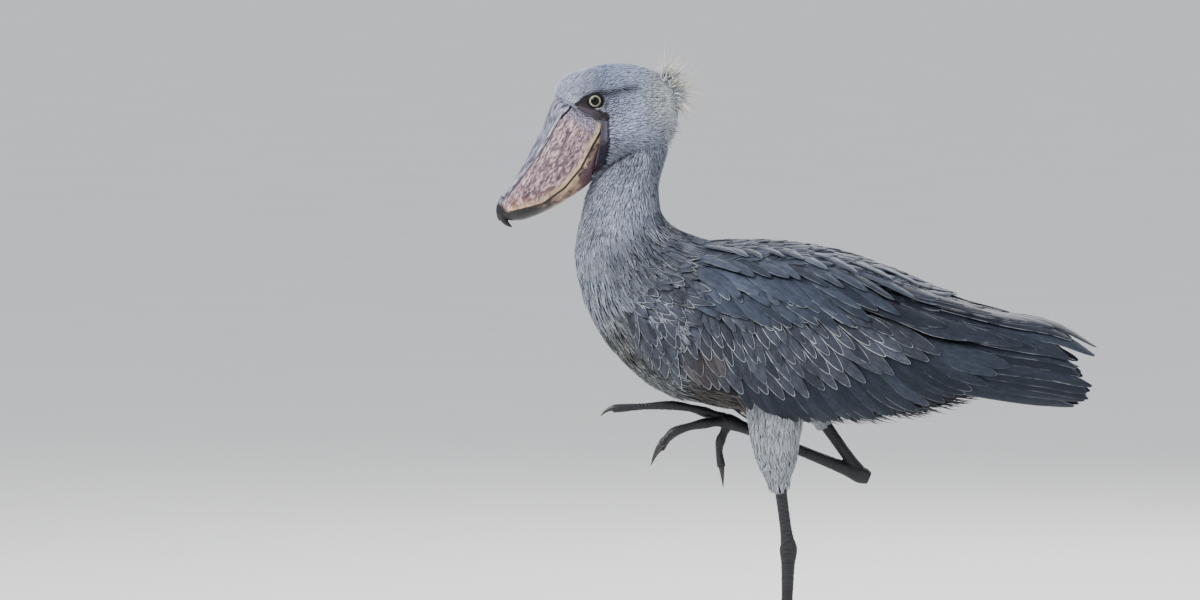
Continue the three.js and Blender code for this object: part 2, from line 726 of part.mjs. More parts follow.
function clawOf(points, dip, grow = 0) {
  const route = toeRoute(points);
  const tip = route.getPointAt(1);
  const ahead = route.getTangentAt(1);
  const at = (t) =>
    tip
      .clone()
      .addScaledVector(ahead, mix(-5, CLAW, t))
      .add(V(0, 0, 1.6 * Math.sin(Math.PI * t) - dip * t * t))
      .toArray();
  const knots = [0, 0.35, 0.7, 1].map((t) => ({ at: at(t), r: mix(5, 0.7, t) }));
  return limb(knots, 4, 6, grow);
}

// Routes of the toes, from the joint outwards
function flatToe(heading, length) {
  const [x, y] = LEG_LEFT.heel;
  const turn = rad(heading);
  const at = (far, z) => [x - far * Math.cos(turn), y + far * Math.sin(turn), z];
  const low = TOE_RADIUS - SOLE_FLAT;
  const tipLow = TOE_TIP_RADIUS - SOLE_FLAT;
  return [at(2, 12), at(16, low), at(length * 0.5, low), at(length, tipLow)];
}

const TOE_ROUTES_LEFT = {
  middle: flatToe(0, TOES.middle),
  inner: flatToe(30, TOES.inner),
  outer: flatToe(-31, TOES.outer),
  hind: flatToe(176, TOES.hind),
};
const TOE_ROUTES_RIGHT = {
  middle: [[-119, 41, 470], [-150, 40, 480], [-204, 38, 491], [-300, 36, 486]],
  inner: [[-118, 38, 464], [-150, 26, 462], [-200, 18, 449], [-222, 15, 428]],
  outer: [[-118, 48, 464], [-148, 62, 460], [-196, 73, 446], [-224, 77, 416]],
  hind: [[-112, 42, 460], [-120, 42, 440], [-126, 42, 422], [-122, 42, 388]],
};
const CLAW_DIP = { left: 4.5, right: 11 };

const thighOf = (leg, grow = 0) => limb(leg.thigh, 7, 14, grow);
const thighRooms = [LEG_LEFT, LEG_RIGHT].map((leg) => thighOf(leg, GAP + 0.1));
addNode("wing_left", wing(LEFT), "flight_feathers");
addNode("wing_right", wing(RIGHT), "flight_feathers");
addNode("tail", tail(), "flight_feathers");

function addLeg(name, leg, routes, dip) {
  const thigh = without(thighOf(leg), fleshRoom);
  const thighRoom = thighOf(leg, GAP + 0.1);
  const floorCut = box([-600, -300, -60], [600, 300, 0]);
  const tarsus = without(tarsusOf(leg), floorCut);
  const tarsusRoom = tarsusOf(leg, GAP + 0.1);
  const shank = without(shankOf(leg), thighRoom, tarsusRoom, fleshRoom);
  addNode(`thigh_${name}`, thigh, "pale_plumage");
  addNode(`shank_${name}`, shank, "leg_skin");
  addNode(`tarsus_${name}`, tarsus, "leg_skin");
  const rooms = [tarsusRoom];
  for (const [toe, route] of Object.entries(routes)) {
    const pads = toe === "hind" ? 2 : 3;
    const clawRoom = clawOf(route, dip, GAP + 0.05);
    const solid = without(toeOf(route, pads), ...rooms, floorCut, clawRoom);
    addNode(`toe_${toe}_${name}`, solid, "leg_skin");
    addNode(`claw_${toe}_${name}`, without(clawOf(route, dip), floorCut), "claw_horn");
    rooms.push(toeOf(route, pads, GAP + 0.1));
  }
}

addLeg("left", LEG_LEFT, TOE_ROUTES_LEFT, CLAW_DIP.left);
addLeg("right", LEG_RIGHT, TOE_ROUTES_RIGHT, CLAW_DIP.right);

// The bird's own frame: its box is centred on Z and stands on Z = 0
const whole = new THREE.Box3().setFromObject(placed);
placed.position.set(
  -(whole.min.x + whole.max.x) / 2,
  -(whole.min.y + whole.max.y) / 2,
  -whole.min.z,
);

export default bird;
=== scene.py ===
"""A life-size shoebill, wading with one foot lifted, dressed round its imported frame.

Metres, +Z up, the floor at Z = 0. The bird faces -X and its left side faces -Y. The flesh
is lofted between a top and a bottom contour, and every feather is laid on these lofts.
"""

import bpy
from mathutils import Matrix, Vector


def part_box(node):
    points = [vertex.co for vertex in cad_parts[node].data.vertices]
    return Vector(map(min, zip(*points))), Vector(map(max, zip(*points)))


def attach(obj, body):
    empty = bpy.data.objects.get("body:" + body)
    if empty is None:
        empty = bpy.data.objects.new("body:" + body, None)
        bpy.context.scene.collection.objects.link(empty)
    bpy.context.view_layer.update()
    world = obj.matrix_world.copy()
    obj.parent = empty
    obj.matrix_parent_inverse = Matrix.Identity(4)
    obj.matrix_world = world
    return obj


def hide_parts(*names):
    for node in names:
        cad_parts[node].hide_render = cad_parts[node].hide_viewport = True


bl_info = {
    "name": "Shoebill",
    "version": (1, 0, 0),
    "blender": (4, 5, 0),
    "location": "3D View > Sidebar > Shoebill",
    "description": "Models a life-size shoebill, feather by feather",
    "category": "Add Mesh",
}

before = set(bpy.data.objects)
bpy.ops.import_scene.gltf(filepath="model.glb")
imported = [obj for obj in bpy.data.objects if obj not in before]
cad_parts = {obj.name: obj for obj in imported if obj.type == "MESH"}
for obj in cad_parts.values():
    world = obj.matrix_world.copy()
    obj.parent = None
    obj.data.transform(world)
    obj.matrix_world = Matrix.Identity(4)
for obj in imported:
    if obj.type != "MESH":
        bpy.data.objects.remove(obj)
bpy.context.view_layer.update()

import math

import bmesh
import bpy
import numpy as np
from bpy.props import FloatProperty, FloatVectorProperty, IntProperty, PointerProperty
from mathutils import Vector
from mathutils.kdtree import KDTree

ROOT = "root"
LEFT = -1
RIGHT = 1
SIDES = ((LEFT, "left"), (RIGHT, "right"))
HALF_TURN = math.pi
FULL_TURN = 2 * math.pi
TO_CM = 100
TO_MM = 1000

# Places below are in the bird's drawing frame; SHIFT moves them to the frame's own origin
EYE = np.array([-0.330, 0.051, 0.997])
EYE_RADIUS = 0.013
eye_low, eye_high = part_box("eye_left")
SHIFT = np.array((Vector(eye_low) + Vector(eye_high)) / 2) - EYE * (1, LEFT, 1)
# The seen eye looks a little forward and up
EYE = EYE + (-0.0012, 0, 0.0024)


def curve_at(knots, share):
    """Places on a smooth curve through the knots, for shares from 0 to 1."""
    knots = np.asarray(knots, float)
    spans = len(knots) - 1
    ends = np.vstack([2 * knots[0] - knots[1], knots, 2 * knots[-1] - knots[-2]])
    place = np.clip(np.asarray(share, float), 0, 1) * spans
    index = np.minimum(place.astype(int), spans - 1)
    weight = (place - index)[..., None]
    before, start, end, after = (ends[index + k] for k in range(4))
    leave = (end - before) / 2
    arrive = (after - start) / 2
    cubic = 2 * (start - end) + leave + arrive
    square = 3 * (end - start) - 2 * leave - arrive
    return ((cubic * weight + square) * weight + leave) * weight + start


def unit(vectors):
    return vectors / np.maximum(np.linalg.norm(vectors, axis=-1, keepdims=True), 1e-12)


def on_side(side, turn):
    """A stretch of turn that is given for the left side, or its mirror image."""
    return turn if side == LEFT else (-turn[1], -turn[0])


def mix(a, b, share):
    return a + (b - a) * share


def smooth(value, low, high):
    """0 below low, 1 above high, and a smooth step between them."""
    share = np.clip((value - low) / (high - low), 0, 1)
    return share * share * (3 - 2 * share)


# Steps that fill a square evenly with places
EVEN_STEPS = (0.7548776662, 0.5698402910)


class Skin:
    """Rings between a top and a bottom contour. along runs 0 to 1 through the stations, and
    turn is 0 at the top and a quarter turn on the left side. Feathers point to lower along,
    or to higher along where flow is 1."""

    flow = -1

    def __init__(self, stations):
        plain = (2.0, 0.0)
        self.rows = np.array([s + plain[len(s) - 5 :] for s in stations], float)
        self.facing = 1
        middle = np.mean([self.on_surface(0.5, 0), self.on_surface(0.5, math.pi)], axis=0)
        outward = self.on_surface(0.5, 0) - middle
        self.facing = np.sign(np.dot(self.normal(0.5, 0), outward))

    def on_surface(self, along, turn):
        along, turn = np.broadcast_arrays(along, turn)
        values = np.moveaxis(curve_at(self.rows, along), -1, 0)
        top_x, top_z, low_x, low_z, half, square, low = values
        up = np.sign(np.cos(turn)) * np.abs(np.cos(turn)) ** (2 / square)
        out = np.sign(np.sin(turn)) * np.abs(np.sin(turn)) ** (2 / square)
        out = out * half * (1 - low * up)
        x = (top_x + low_x) / 2 + (top_x - low_x) / 2 * up
        z = (top_z + low_z) / 2 + (top_z - low_z) / 2 * up
        return np.stack([x, -out, z], -1) + SHIFT

    def run(self, along, turn, step):
        """How the surface runs over a small step of along and of turn to either side."""
        s = np.clip(along, step, 1 - step)
        ahead = self.on_surface(s + step, turn) - self.on_surface(s - step, turn)
        return ahead, self.on_surface(s, turn + step) - self.on_surface(s, turn - step)

    def normal(self, along, turn):
        return unit(np.cross(*self.run(along, turn, 1e-3))) * self.facing

    def at(self, along, turn, lift=0.0):
        lift = np.asarray(lift, float)[..., None]
        return self.on_surface(along, turn) + self.normal(along, turn) * lift

    def stretch(self, along, turn):
        """Metres for each unit of along, and for each radian of turn."""
        step = 2e-3
        ahead, around = (np.linalg.norm(r, axis=-1) for r in self.run(along, turn, step))
        return np.maximum(ahead / (2 * step), 0.02), np.maximum(around / (2 * step), 0.004)

    def seen_at(self, x, z):
        """along and turn of a point of the side view, on a skin of upright rings."""
        share = np.linspace(0, 1, 400)
        rows = curve_at(self.rows, share)
        along = np.interp(x, rows[:, 0], share)
        row = np.moveaxis(curve_at(self.rows, along), -1, 0)
        up = np.clip((2 * z - row[1] - row[3]) / (row[1] - row[3]), -1, 1)
        return along, np.arccos(np.sign(up) * np.abs(up) ** (row[5] / 2))

    def spread(self, count, along, turn, seed=0):
        """Places spread evenly over a stretch of the skin, as arrays of along and turn."""
        cells = 120
        rows = np.linspace(*along, cells + 1)
        columns = np.linspace(*turn, cells + 1)
        grid = self.on_surface(rows[:, None], columns[None, :])
        down = grid[1:, :-1] - grid[:-1, :-1]
        across = grid[:-1, 1:] - grid[:-1, :-1]
        area = np.linalg.norm(np.cross(down, across), axis=-1)
        totals = area.sum(1)
        row_share = np.concatenate([[0], np.cumsum(totals)]) / totals.sum()
        index = np.arange(count) + 1 + seed
        first, second = ((index * step) % 1 for step in EVEN_STEPS)
        places = np.interp(first, row_share, rows)
        row = np.clip(np.searchsorted(row_share, first) - 1, 0, cells - 1)
        turns = np.empty(count)
        for i in range(cells):
            here = row == i
            share = np.concatenate([[0], np.cumsum(area[i])]) / totals[i]
            turns[here] = np.interp(second[here], share, columns)
        return places, turns


# Stations: top x and z, bottom x and z, half width, then how square and how low the ring is
BODY = Skin(
    [
        (0.352, 0.622, 0.342, 0.562, 0.018),
        (0.322, 0.638, 0.318, 0.538, 0.036),
        (0.262, 0.650, 0.254, 0.508, 0.064),
        (0.172, 0.686, 0.155, 0.488, 0.090),
        (0.089, 0.713, 0.064, 0.485, 0.107, 2.0, 0.02),
        (0.007, 0.734, -0.026, 0.485, 0.115, 2.0, 0.04),
        (-0.076, 0.745, -0.117, 0.493, 0.118, 2.0, 0.04),
        (-0.145, 0.759, -0.198, 0.513, 0.115, 2.0, 0.04),
        (-0.191, 0.776, -0.257, 0.549, 0.108, 2.0, 0.02),
        (-0.214, 0.791, -0.310, 0.606, 0.095),
        (-0.225, 0.812, -0.345, 0.672, 0.080),
        (-0.229, 0.837, -0.361, 0.731, 0.068),
        (-0.228, 0.863, -0.358, 0.774, 0.059),
        (-0.221, 0.891, -0.350, 0.812, 0.053),
        (-0.213, 0.921, -0.343, 0.842, 0.050),
        (-0.216, 0.953, -0.322, 0.888, 0.044),
    ]
)
# Hollows and swellings of the face: side-view middle, half length, half thickness, tilt in
# degrees and height
FACE_RELIEF = {
    "eye socket": (-0.331, 0.999, 0.0135, 0.0125, 0, -0.0045),
    "brow": (-0.331, 1.0180, 0.026, 0.0060, 6, 0.0036),
    "groove behind the eye": (-0.292, 1.0160, 0.026, 0.0036, 8, -0.0034),
    "cheek edge": (-0.292, 1.0030, 0.014, 0.0075, 10, 0.0028),
    "cheek": (-0.262, 0.960, 0.040, 0.030, 30, 0.0040),
    "lore": (-0.354, 0.993, 0.012, 0.0060, 0, -0.0020),
    "fold under the cheek": (-0.292, 0.8990, 0.030, 0.0032, 24, -0.0034),
}


class Face(Skin):
    """The head's skin, with the face's hollows and swellings."""

    def on_surface(self, along, turn):
        places = super().on_surface(along, turn)
        raw = places - SHIFT
        side = smooth(np.abs(raw[..., 1]), 0.015, 0.040) * np.sign(raw[..., 1])
        for x, z, long, thick, tilt, height in FACE_RELIEF.values():
            off_x, off_z = raw[..., 0] - x, raw[..., 2] - z
            cos, sin = math.cos(math.radians(tilt)), math.sin(math.radians(tilt))
            ahead = (off_x * cos + off_z * sin) / long
            aside = (off_z * cos - off_x * sin) / thick
            places[..., 1] += side * height * np.exp(-(ahead**2) - aside**2)
        return places


HEAD = Face(
    [
        (-0.195, 1.000, -0.196, 0.968, 0.018),
        (-0.208, 1.031, -0.204, 0.938, 0.040),
        (-0.244, 1.049, -0.226, 0.911, 0.055, 2.1),
        (-0.287, 1.058, -0.258, 0.896, 0.062, 2.25, 0.03),
        (-0.330, 1.054, -0.289, 0.887, 0.063, 2.3, 0.07),
        (-0.3825, 1.0365, -0.318, 0.871, 0.058, 2.3, 0.10),
        (-0.4010, 1.0070, -0.333, 0.862, 0.050, 2.3, 0.10),
    ]
)
BILL_STATIONS = [
    (-0.334, 0.985, -0.292, 0.935, 0.0545, 2.5),
    (-0.365, 0.990, -0.306, 0.917, 0.0580, 2.5),
    (-0.384, 1.001, -0.317, 0.898, 0.0595, 2.5),
    (-0.400, 0.996, -0.325, 0.879, 0.0605, 2.5),
    (-0.416, 0.952, -0.342, 0.860, 0.060, 2.5),
    (-0.432, 0.920, -0.363, 0.844, 0.058, 2.5),
    (-0.451, 0.884, -0.394, 0.824, 0.052, 2.4),
    (-0.469, 0.855, -0.426, 0.809, 0.043, 2.3),
    (-0.481, 0.836, -0.449, 0.801, 0.032, 2.2),
    (-0.489, 0.821, -0.468, 0.799, 0.017, 2.1),
]
LOWER_TRIM = 0.004
BILL = Skin(BILL_STATIONS)
LOWER_BILL = Skin([s[:4] + (s[4] - LOWER_TRIM,) + s[5:] for s in BILL_STATIONS])
MOUTH = np.array(
    [
        (-0.318, 0.968),
        (-0.322, 0.948),
        (-0.337, 0.922),
        (-0.354, 0.889),
        (-0.381, 0.856),
        (-0.418, 0.829),
        (-0.470, 0.815),
    ]
)
# Where the feathers end and the bill begins, from the forehead down to the chin; the upper
# half of the bill starts at the first eight places
BILL_BASE = np.array(
    [
        (-0.412, 1.0035),
        (-0.398, 1.0010),
        (-0.385, 0.9975),
        (-0.364, 0.9915),
        (-0.356, 0.9845),
        (-0.330, 0.9720),
        (-0.3205, 0.9680),
        (-0.3190, 0.960),
        (-0.3190, 0.925),
        (-0.3250, 0.899),
        (-0.333, 0.881),
        (-0.350, 0.855),
    ]
)
UPPER_BASE = 8
# The dark groove on each side of the culmen, from the feathers towards the hook
GROOVE = np.array(
    [
        (-0.366, 0.992),
        (-0.3704, 0.9890),
        (-0.3876, 0.9712),
        (-0.4003, 0.9500),
        (-0.4120, 0.9300),
        (-0.4270, 0.9070),
        (-0.4470, 0.8790),
        (-0.4640, 0.8570),
        (-0.4760, 0.8400),
    ]
)
# The folded wings' outer surface: upright rings from the shoulders to the wing tips
CLOAK = Skin(
    [
        (-0.276, 0.690, -0.276, 0.604, 0.092),
        (-0.250, 0.722, -0.250, 0.562, 0.112),
        (-0.210, 0.746, -0.210, 0.522, 0.126),
        (-0.158, 0.760, -0.158, 0.474, 0.133),
        (-0.060, 0.762, -0.060, 0.448, 0.137),
        (0.040, 0.752, 0.040, 0.442, 0.134),
        (0.139, 0.723, 0.139, 0.446, 0.121),
        (0.238, 0.682, 0.238, 0.460, 0.103),
        (0.337, 0.653, 0.337, 0.480, 0.082),
        (0.420, 0.634, 0.420, 0.488, 0.065),
        (0.492, 0.590, 0.492, 0.490, 0.054),
    ]
)


def rgb(red, green, blue):
    """Linear colour from the screen's 0 to 255 values."""
    share = np.array([red, green, blue]) / 255
    return np.where(share <= 0.04045, share / 12.92, ((share + 0.055) / 1.055) ** 2.4)


# Markings of the plumage: side-view places, and the colour of the feathers there
MARKINGS = {
    "forehead": (-0.375, 1.035, rgb(198, 206, 230)),
    "crown": (-0.300, 1.050, rgb(160, 171, 199)),
    "cheek": (-0.280, 0.965, rgb(162, 170, 196)),
    "chin": (-0.300, 0.905, rgb(126, 133, 150)),
    "nape": (-0.205, 1.000, rgb(164, 168, 172)),
    "hind neck": (-0.225, 0.860, rgb(118, 126, 142)),
    "neck": (-0.290, 0.830, rgb(144, 151, 170)),
    "throat": (-0.350, 0.780, rgb(130, 136, 150)),
    "shoulder": (-0.250, 0.730, rgb(66, 71, 82)),
    "neck base": (-0.200, 0.780, rgb(62, 68, 80)),
    "breast": (-0.335, 0.680, rgb(112, 118, 130)),
    "lower breast": (-0.270, 0.580, rgb(58, 60, 58)),
    "bare patch": (-0.205, 0.640, rgb(118, 123, 133)),
    "belly": (-0.100, 0.500, rgb(64, 59, 57)),
    "vent": (0.080, 0.500, rgb(48, 52, 58)),
    "under tail": (0.280, 0.550, rgb(40, 44, 50)),
    "back": (-0.100, 0.760, rgb(48, 55, 68)),
    "rump": (0.240, 0.660, rgb(36, 42, 52)),
}


# Dark and pale strokes on the face, the dark ones wholly or partly painted shade: side-view ends, width,
# and how much lighter
FACE_MARKS = {
    # Dark feathers behind the eye, deepened with painted shade in the groove there
    "band behind the eye": ((-0.318, 1.0105), (-0.264, 1.0215), 0.0078, -0.74),
    "shade over the eye": ((-0.346, 1.009), (-0.322, 1.0155), 0.0034, -0.60),
    "pale lore": ((-0.378, 1.000), (-0.364, 0.999), 0.0060, 0.45),
    # Painted shadow in the crease between the cheek and the neck, and in the fold of the throat
    "shadow in the crease under the cheek": ((-0.316, 0.885), (-0.276, 0.909), 0.0036, -0.66),
    "shadow at the end of the crease": ((-0.276, 0.909), (-0.246, 0.919), 0.0040, -0.40),
    "shadow in the fold of the throat": ((-0.287, 0.888), (-0.256, 0.894), 0.0026, -0.40),
    "pale nape": ((-0.212, 1.030), (-0.205, 0.965), 0.0110, 0.40),
}


def coat_colour(points):
    """The markings' colour at each point: each marking fades into its neighbours. The face's strokes then
    darken or lighten it, some of them as painted shade.
    """
    raw = points - SHIFT
    total = np.zeros(points.shape)
    weights = np.zeros(points.shape[:-1])
    for x, z, colour in MARKINGS.values():
        away = (raw[..., 0] - x) ** 2 + (raw[..., 2] - z) ** 2 + 2e-4
        weight = away**-2
        total = total + weight[..., None] * colour
        weights = weights + weight
    shade = np.ones(points.shape[:-1])
    for start, end, width, strength in FACE_MARKS.values():
        near = np.exp(-((strip_distance(points, start, end) / width) ** 2))
        shade = shade * (1 + strength * near)
    return total / weights[..., None] * shade[..., None]


def line_distance(points, line):
    """Signed distance in the side view from a line: more is to the front of it."""
    raw = (points - SHIFT)[..., [0, 2]]
    best = np.full(raw.shape[:-1], 1e9)
    sign = np.ones(raw.shape[:-1])
    for start, end in zip(line[:-1], line[1:]):
        run = end - start
        share = np.clip(((raw - start) @ run) / (run @ run), 0, 1)
        off = raw - start - share[..., None] * run
        away = np.linalg.norm(off, axis=-1)
        front = off[..., 0] * run[1] - off[..., 1] * run[0]
        closer = away < best
        best = np.where(closer, away, best)
        sign = np.where(closer, np.sign(front), sign)
    return best * sign


def strip_distance(points, start, end):
    """Distance in the side view from a straight strip's middle line."""
    raw = (points - SHIFT)[..., [0, 2]]
    start, end = np.array(start), np.array(end)
    run = end - start
    share = np.clip(((raw - start) @ run) / max(run @ run, 1e-12), 0, 1)
    return np.linalg.norm(raw - start - share[..., None] * run, axis=-1)


# Meshes and objects


def deselect():
    for other in bpy.context.selected_objects:
        other.select_set(False)


def activate(piece):
    deselect()
    piece.select_set(True)
    bpy.context.view_layer.objects.active = piece


def add_number(mesh, key, values):
    layer = mesh.attributes.new(key, "FLOAT", "POINT")
    layer.data.foreach_set("value", values.astype(np.float32))


def add_colour(mesh, key, values):
    layer = mesh.color_attributes.new(key, "FLOAT_COLOR", "POINT")
    flat = np.concatenate([values, np.ones((len(values), 1))], 1)
    layer.data.foreach_set("color", flat.astype(np.float32).ravel())


def mesh_object(name, points, faces, maps=None, colours=None, numbers=None):
    """An object from arrays: faces is a list of index arrays, maps are UV maps for each point."""
    mesh = bpy.data.meshes.new(name)
    mesh.vertices.add(len(points))
    mesh.vertices.foreach_set("co", np.ascontiguousarray(points, np.float32).ravel())
    corners = np.concatenate([f.ravel() for f in faces]).astype(np.int32)
    sizes = np.concatenate([np.full(len(f), f.shape[1]) for f in faces])
    starts = np.concatenate([[0], np.cumsum(sizes)[:-1]]).astype(np.int32)
    mesh.loops.add(len(corners))
    mesh.loops.foreach_set("vertex_index", corners)
    mesh.polygons.add(len(sizes))
    mesh.polygons.foreach_set("loop_start", starts)
    for key, values in (maps or {}).items():
        layer = mesh.uv_layers.new(name=key, do_init=False)
        flat = np.ascontiguousarray(values[corners], np.float32).ravel()
        layer.data.foreach_set("uv", flat)
    for key, values in (colours or {}).items():
        add_colour(mesh, key, values)
    for key, values in (numbers or {}).items():
        add_number(mesh, key, values)
    mesh.update(calc_edges=True)
    mesh.validate()
    mesh.shade_smooth()
    piece = bpy.data.objects.new(name, mesh)
    bpy.context.scene.collection.objects.link(piece)
    return piece


def points_of(piece, key="co"):
    """The places of a mesh's points or, with the key normal, their normals."""
    values = np.empty(len(piece.data.vertices) * 3, np.float32)
    piece.data.vertices.foreach_get(key, values)
    return values.reshape(-1, 3).astype(float)


def move_points(piece, points):
    piece.data.vertices.foreach_set("co", points.astype(np.float32).ravel())
    piece.data.update()


def nearest_in(places, points):
    """For each point, the number of the nearest of the places."""
    tree = KDTree(len(places))
    for i, place in enumerate(places):
        tree.insert(place, i)
    tree.balance()
    return np.array([tree.find(p)[1] for p in points])


def ring_faces(rings, around):
    """Quads between rings of points, each ring closed on itself."""
    ring = np.arange(rings - 1)[:, None] * around
    here = np.arange(around)[None, :]
    beside = (here + 1) % around
    quads = [ring + here, ring + beside, ring + around + beside, ring + around + here]
    return np.stack(quads, -1).reshape(-1, 4)


def closed_tube(name, rings, ends):
    """A closed loft: rings of points, then a point at each end."""
    count, around = rings.shape[:2]
    points = np.concatenate([rings.reshape(-1, 3), np.array(ends)])
    here = np.arange(around)
    beside = (here + 1) % around
    first = np.full(around, count * around)
    last = (count - 1) * around
    caps = np.concatenate(
        [
            np.stack([first, beside, here], -1),
            np.stack([first + 1, last + here, last + beside], -1),
        ]
    )
    piece = mesh_object(name, points, [ring_faces(count, around), caps])
    face_outwards(piece)
    return piece


def face_outwards(piece):
    shape = bmesh.new()
    shape.from_mesh(piece.data)
    bmesh.ops.recalc_face_normals(shape, faces=shape.faces)
    if shape.calc_volume(signed=True) < 0:
        bmesh.ops.reverse_faces(shape, faces=shape.faces)
    shape.to_mesh(piece.data)
    shape.free()


def apply_modifier(piece, kind, **settings):
    activate(piece)
    modifier = piece.modifiers.new(kind.title(), kind)
    for key, value in settings.items():
        setattr(modifier, key, value)
    bpy.ops.object.modifier_apply(modifier=modifier.name)


def join(pieces):
    deselect()
    for piece in pieces:
        piece.select_set(True)
    bpy.context.view_layer.objects.active = pieces[0]
    bpy.ops.object.join()
    return pieces[0]


def skin_form(name, skin, rings, around, bulge, lift=None):
    """A closed body on a skin; lift tells how far the surface stands off at each place."""
    along = np.linspace(0, 1, rings)[:, None]
    turn = np.linspace(0, FULL_TURN, around, endpoint=False)[None, :]
    along, turn = np.broadcast_arrays(along, turn)
    places = skin.at(along, turn)
    if lift:
        places = skin.at(along, turn, lift(places))
    middles = places.mean(axis=1)
    ends = []
    for end, inner in ((0, 2), (-1, -3)):
        outward = unit(middles[end] - middles[inner])
        ends.append(middles[end] + outward * bulge)
    return closed_tube(name, places, ends)


def limb_rings(knots, rings, around, grow=0.0):
    """Rings round a bent centre line: knots are x, y, z, thickness and width radii."""
    knots = np.array([k if len(k) == 5 else k + (k[3],) for k in knots], float)
    share = np.linspace(0, 1, rings)
    values = curve_at(knots, share)
    line = values[:, :3] + SHIFT
    ahead = unit(np.gradient(line, axis=0))
    across = unit(np.array([0, 1.0, 0]) - ahead * ahead[:, 1:2])
    up = unit(np.cross(ahead, across))
    turn = np.linspace(0, FULL_TURN, around, endpoint=False)
    high = (values[:, 3] + grow)[:, None, None] * np.cos(turn)[None, :, None]
    wide = (values[:, 4] + grow)[:, None, None] * np.sin(turn)[None, :, None]
    places = line[:, None] + up[:, None] * high + across[:, None] * wide
    return places, line, ahead


def limb_form(name, knots, rings, around, grow=0.0, bulge=0.0006):
    places, line, ahead = limb_rings(knots, rings, around, grow)
    ends = [line[0] - ahead[0] * bulge, line[-1] + ahead[-1] * bulge]
    return closed_tube(name, places, ends)


def finish_piece(piece, material, slot, *nodes):
    """The finish, the body that the piece rides on and the nodes that it stands for."""
    piece.data.materials.clear()
    piece.data.materials.append(material)
    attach(piece, ROOT)
    if nodes:
        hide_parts(*nodes)
    return piece


# Feathers


def blade_share(t, root, tip, pointed=0, widest=0.6):
    """Half width of a feather along its length, as a share of its widest."""
    rising = mix(root, 1, np.sin(np.clip(t / widest, 0, 1) * math.pi / 2))
    past = np.clip((t - widest) / (1 - widest), 0, 1)
    blunt = np.sqrt(np.maximum(1 - past * past * (1 - tip * tip), 0))
    sharp = mix(1, tip, past**1.7)
    return np.where(t < widest, rising, mix(blunt, sharp, pointed))


def lance_share(t, root, tip, pointed=0, widest=0.35):
    """The same for a narrow plume that tapers to a point."""
    rising = mix(root, 1, np.sin(np.clip(t / widest, 0, 1) * math.pi / 2))
    past = np.clip((t - widest) / (1 - widest), 0, 1)
    return np.where(t < widest, rising, mix(1, tip, past**1.3))


def vane_faces(across, along):
    """Faces of a thin closed slab: the upper grid of points first, then the lower one."""
    layer = (along + 1) * (across + 1)

    def at(k, j, low):
        return low * layer + j * (across + 1) + k

    faces = []
    for j in range(along):
        for k in range(across):
            faces.append([at(k, j, 0), at(k + 1, j, 0), at(k + 1, j + 1, 0), at(k, j + 1, 0)])
            faces.append([at(k, j, 1), at(k, j + 1, 1), at(k + 1, j + 1, 1), at(k + 1, j, 1)])
        faces.append([at(0, j, 0), at(0, j + 1, 0), at(0, j + 1, 1), at(0, j, 1)])
        end = across
        faces.append([at(end, j, 0), at(end, j, 1), at(end, j + 1, 1), at(end, j + 1, 0)])
    for k in range(across):
        faces.append([at(k, 0, 0), at(k, 0, 1), at(k + 1, 0, 1), at(k + 1, 0, 0)])
        end = along
        faces.append([at(k, end, 0), at(k + 1, end, 0), at(k + 1, end, 1), at(k, end, 1)])
    return [np.array(faces)]


def blade_faces(along):
    """Faces of a three-sided blade: left edge, ridge and right edge at each step."""
    quads = []
    for j in range(along):
        here, there = 3 * j, 3 * j + 3
        for k in range(3):
            beside = (k + 1) % 3
            quads.append([here + k, here + beside, there + beside, there + k])
    last = 3 * along
    return [np.array(quads), np.array([[0, 2, 1], [last, last + 1, last + 2]])]


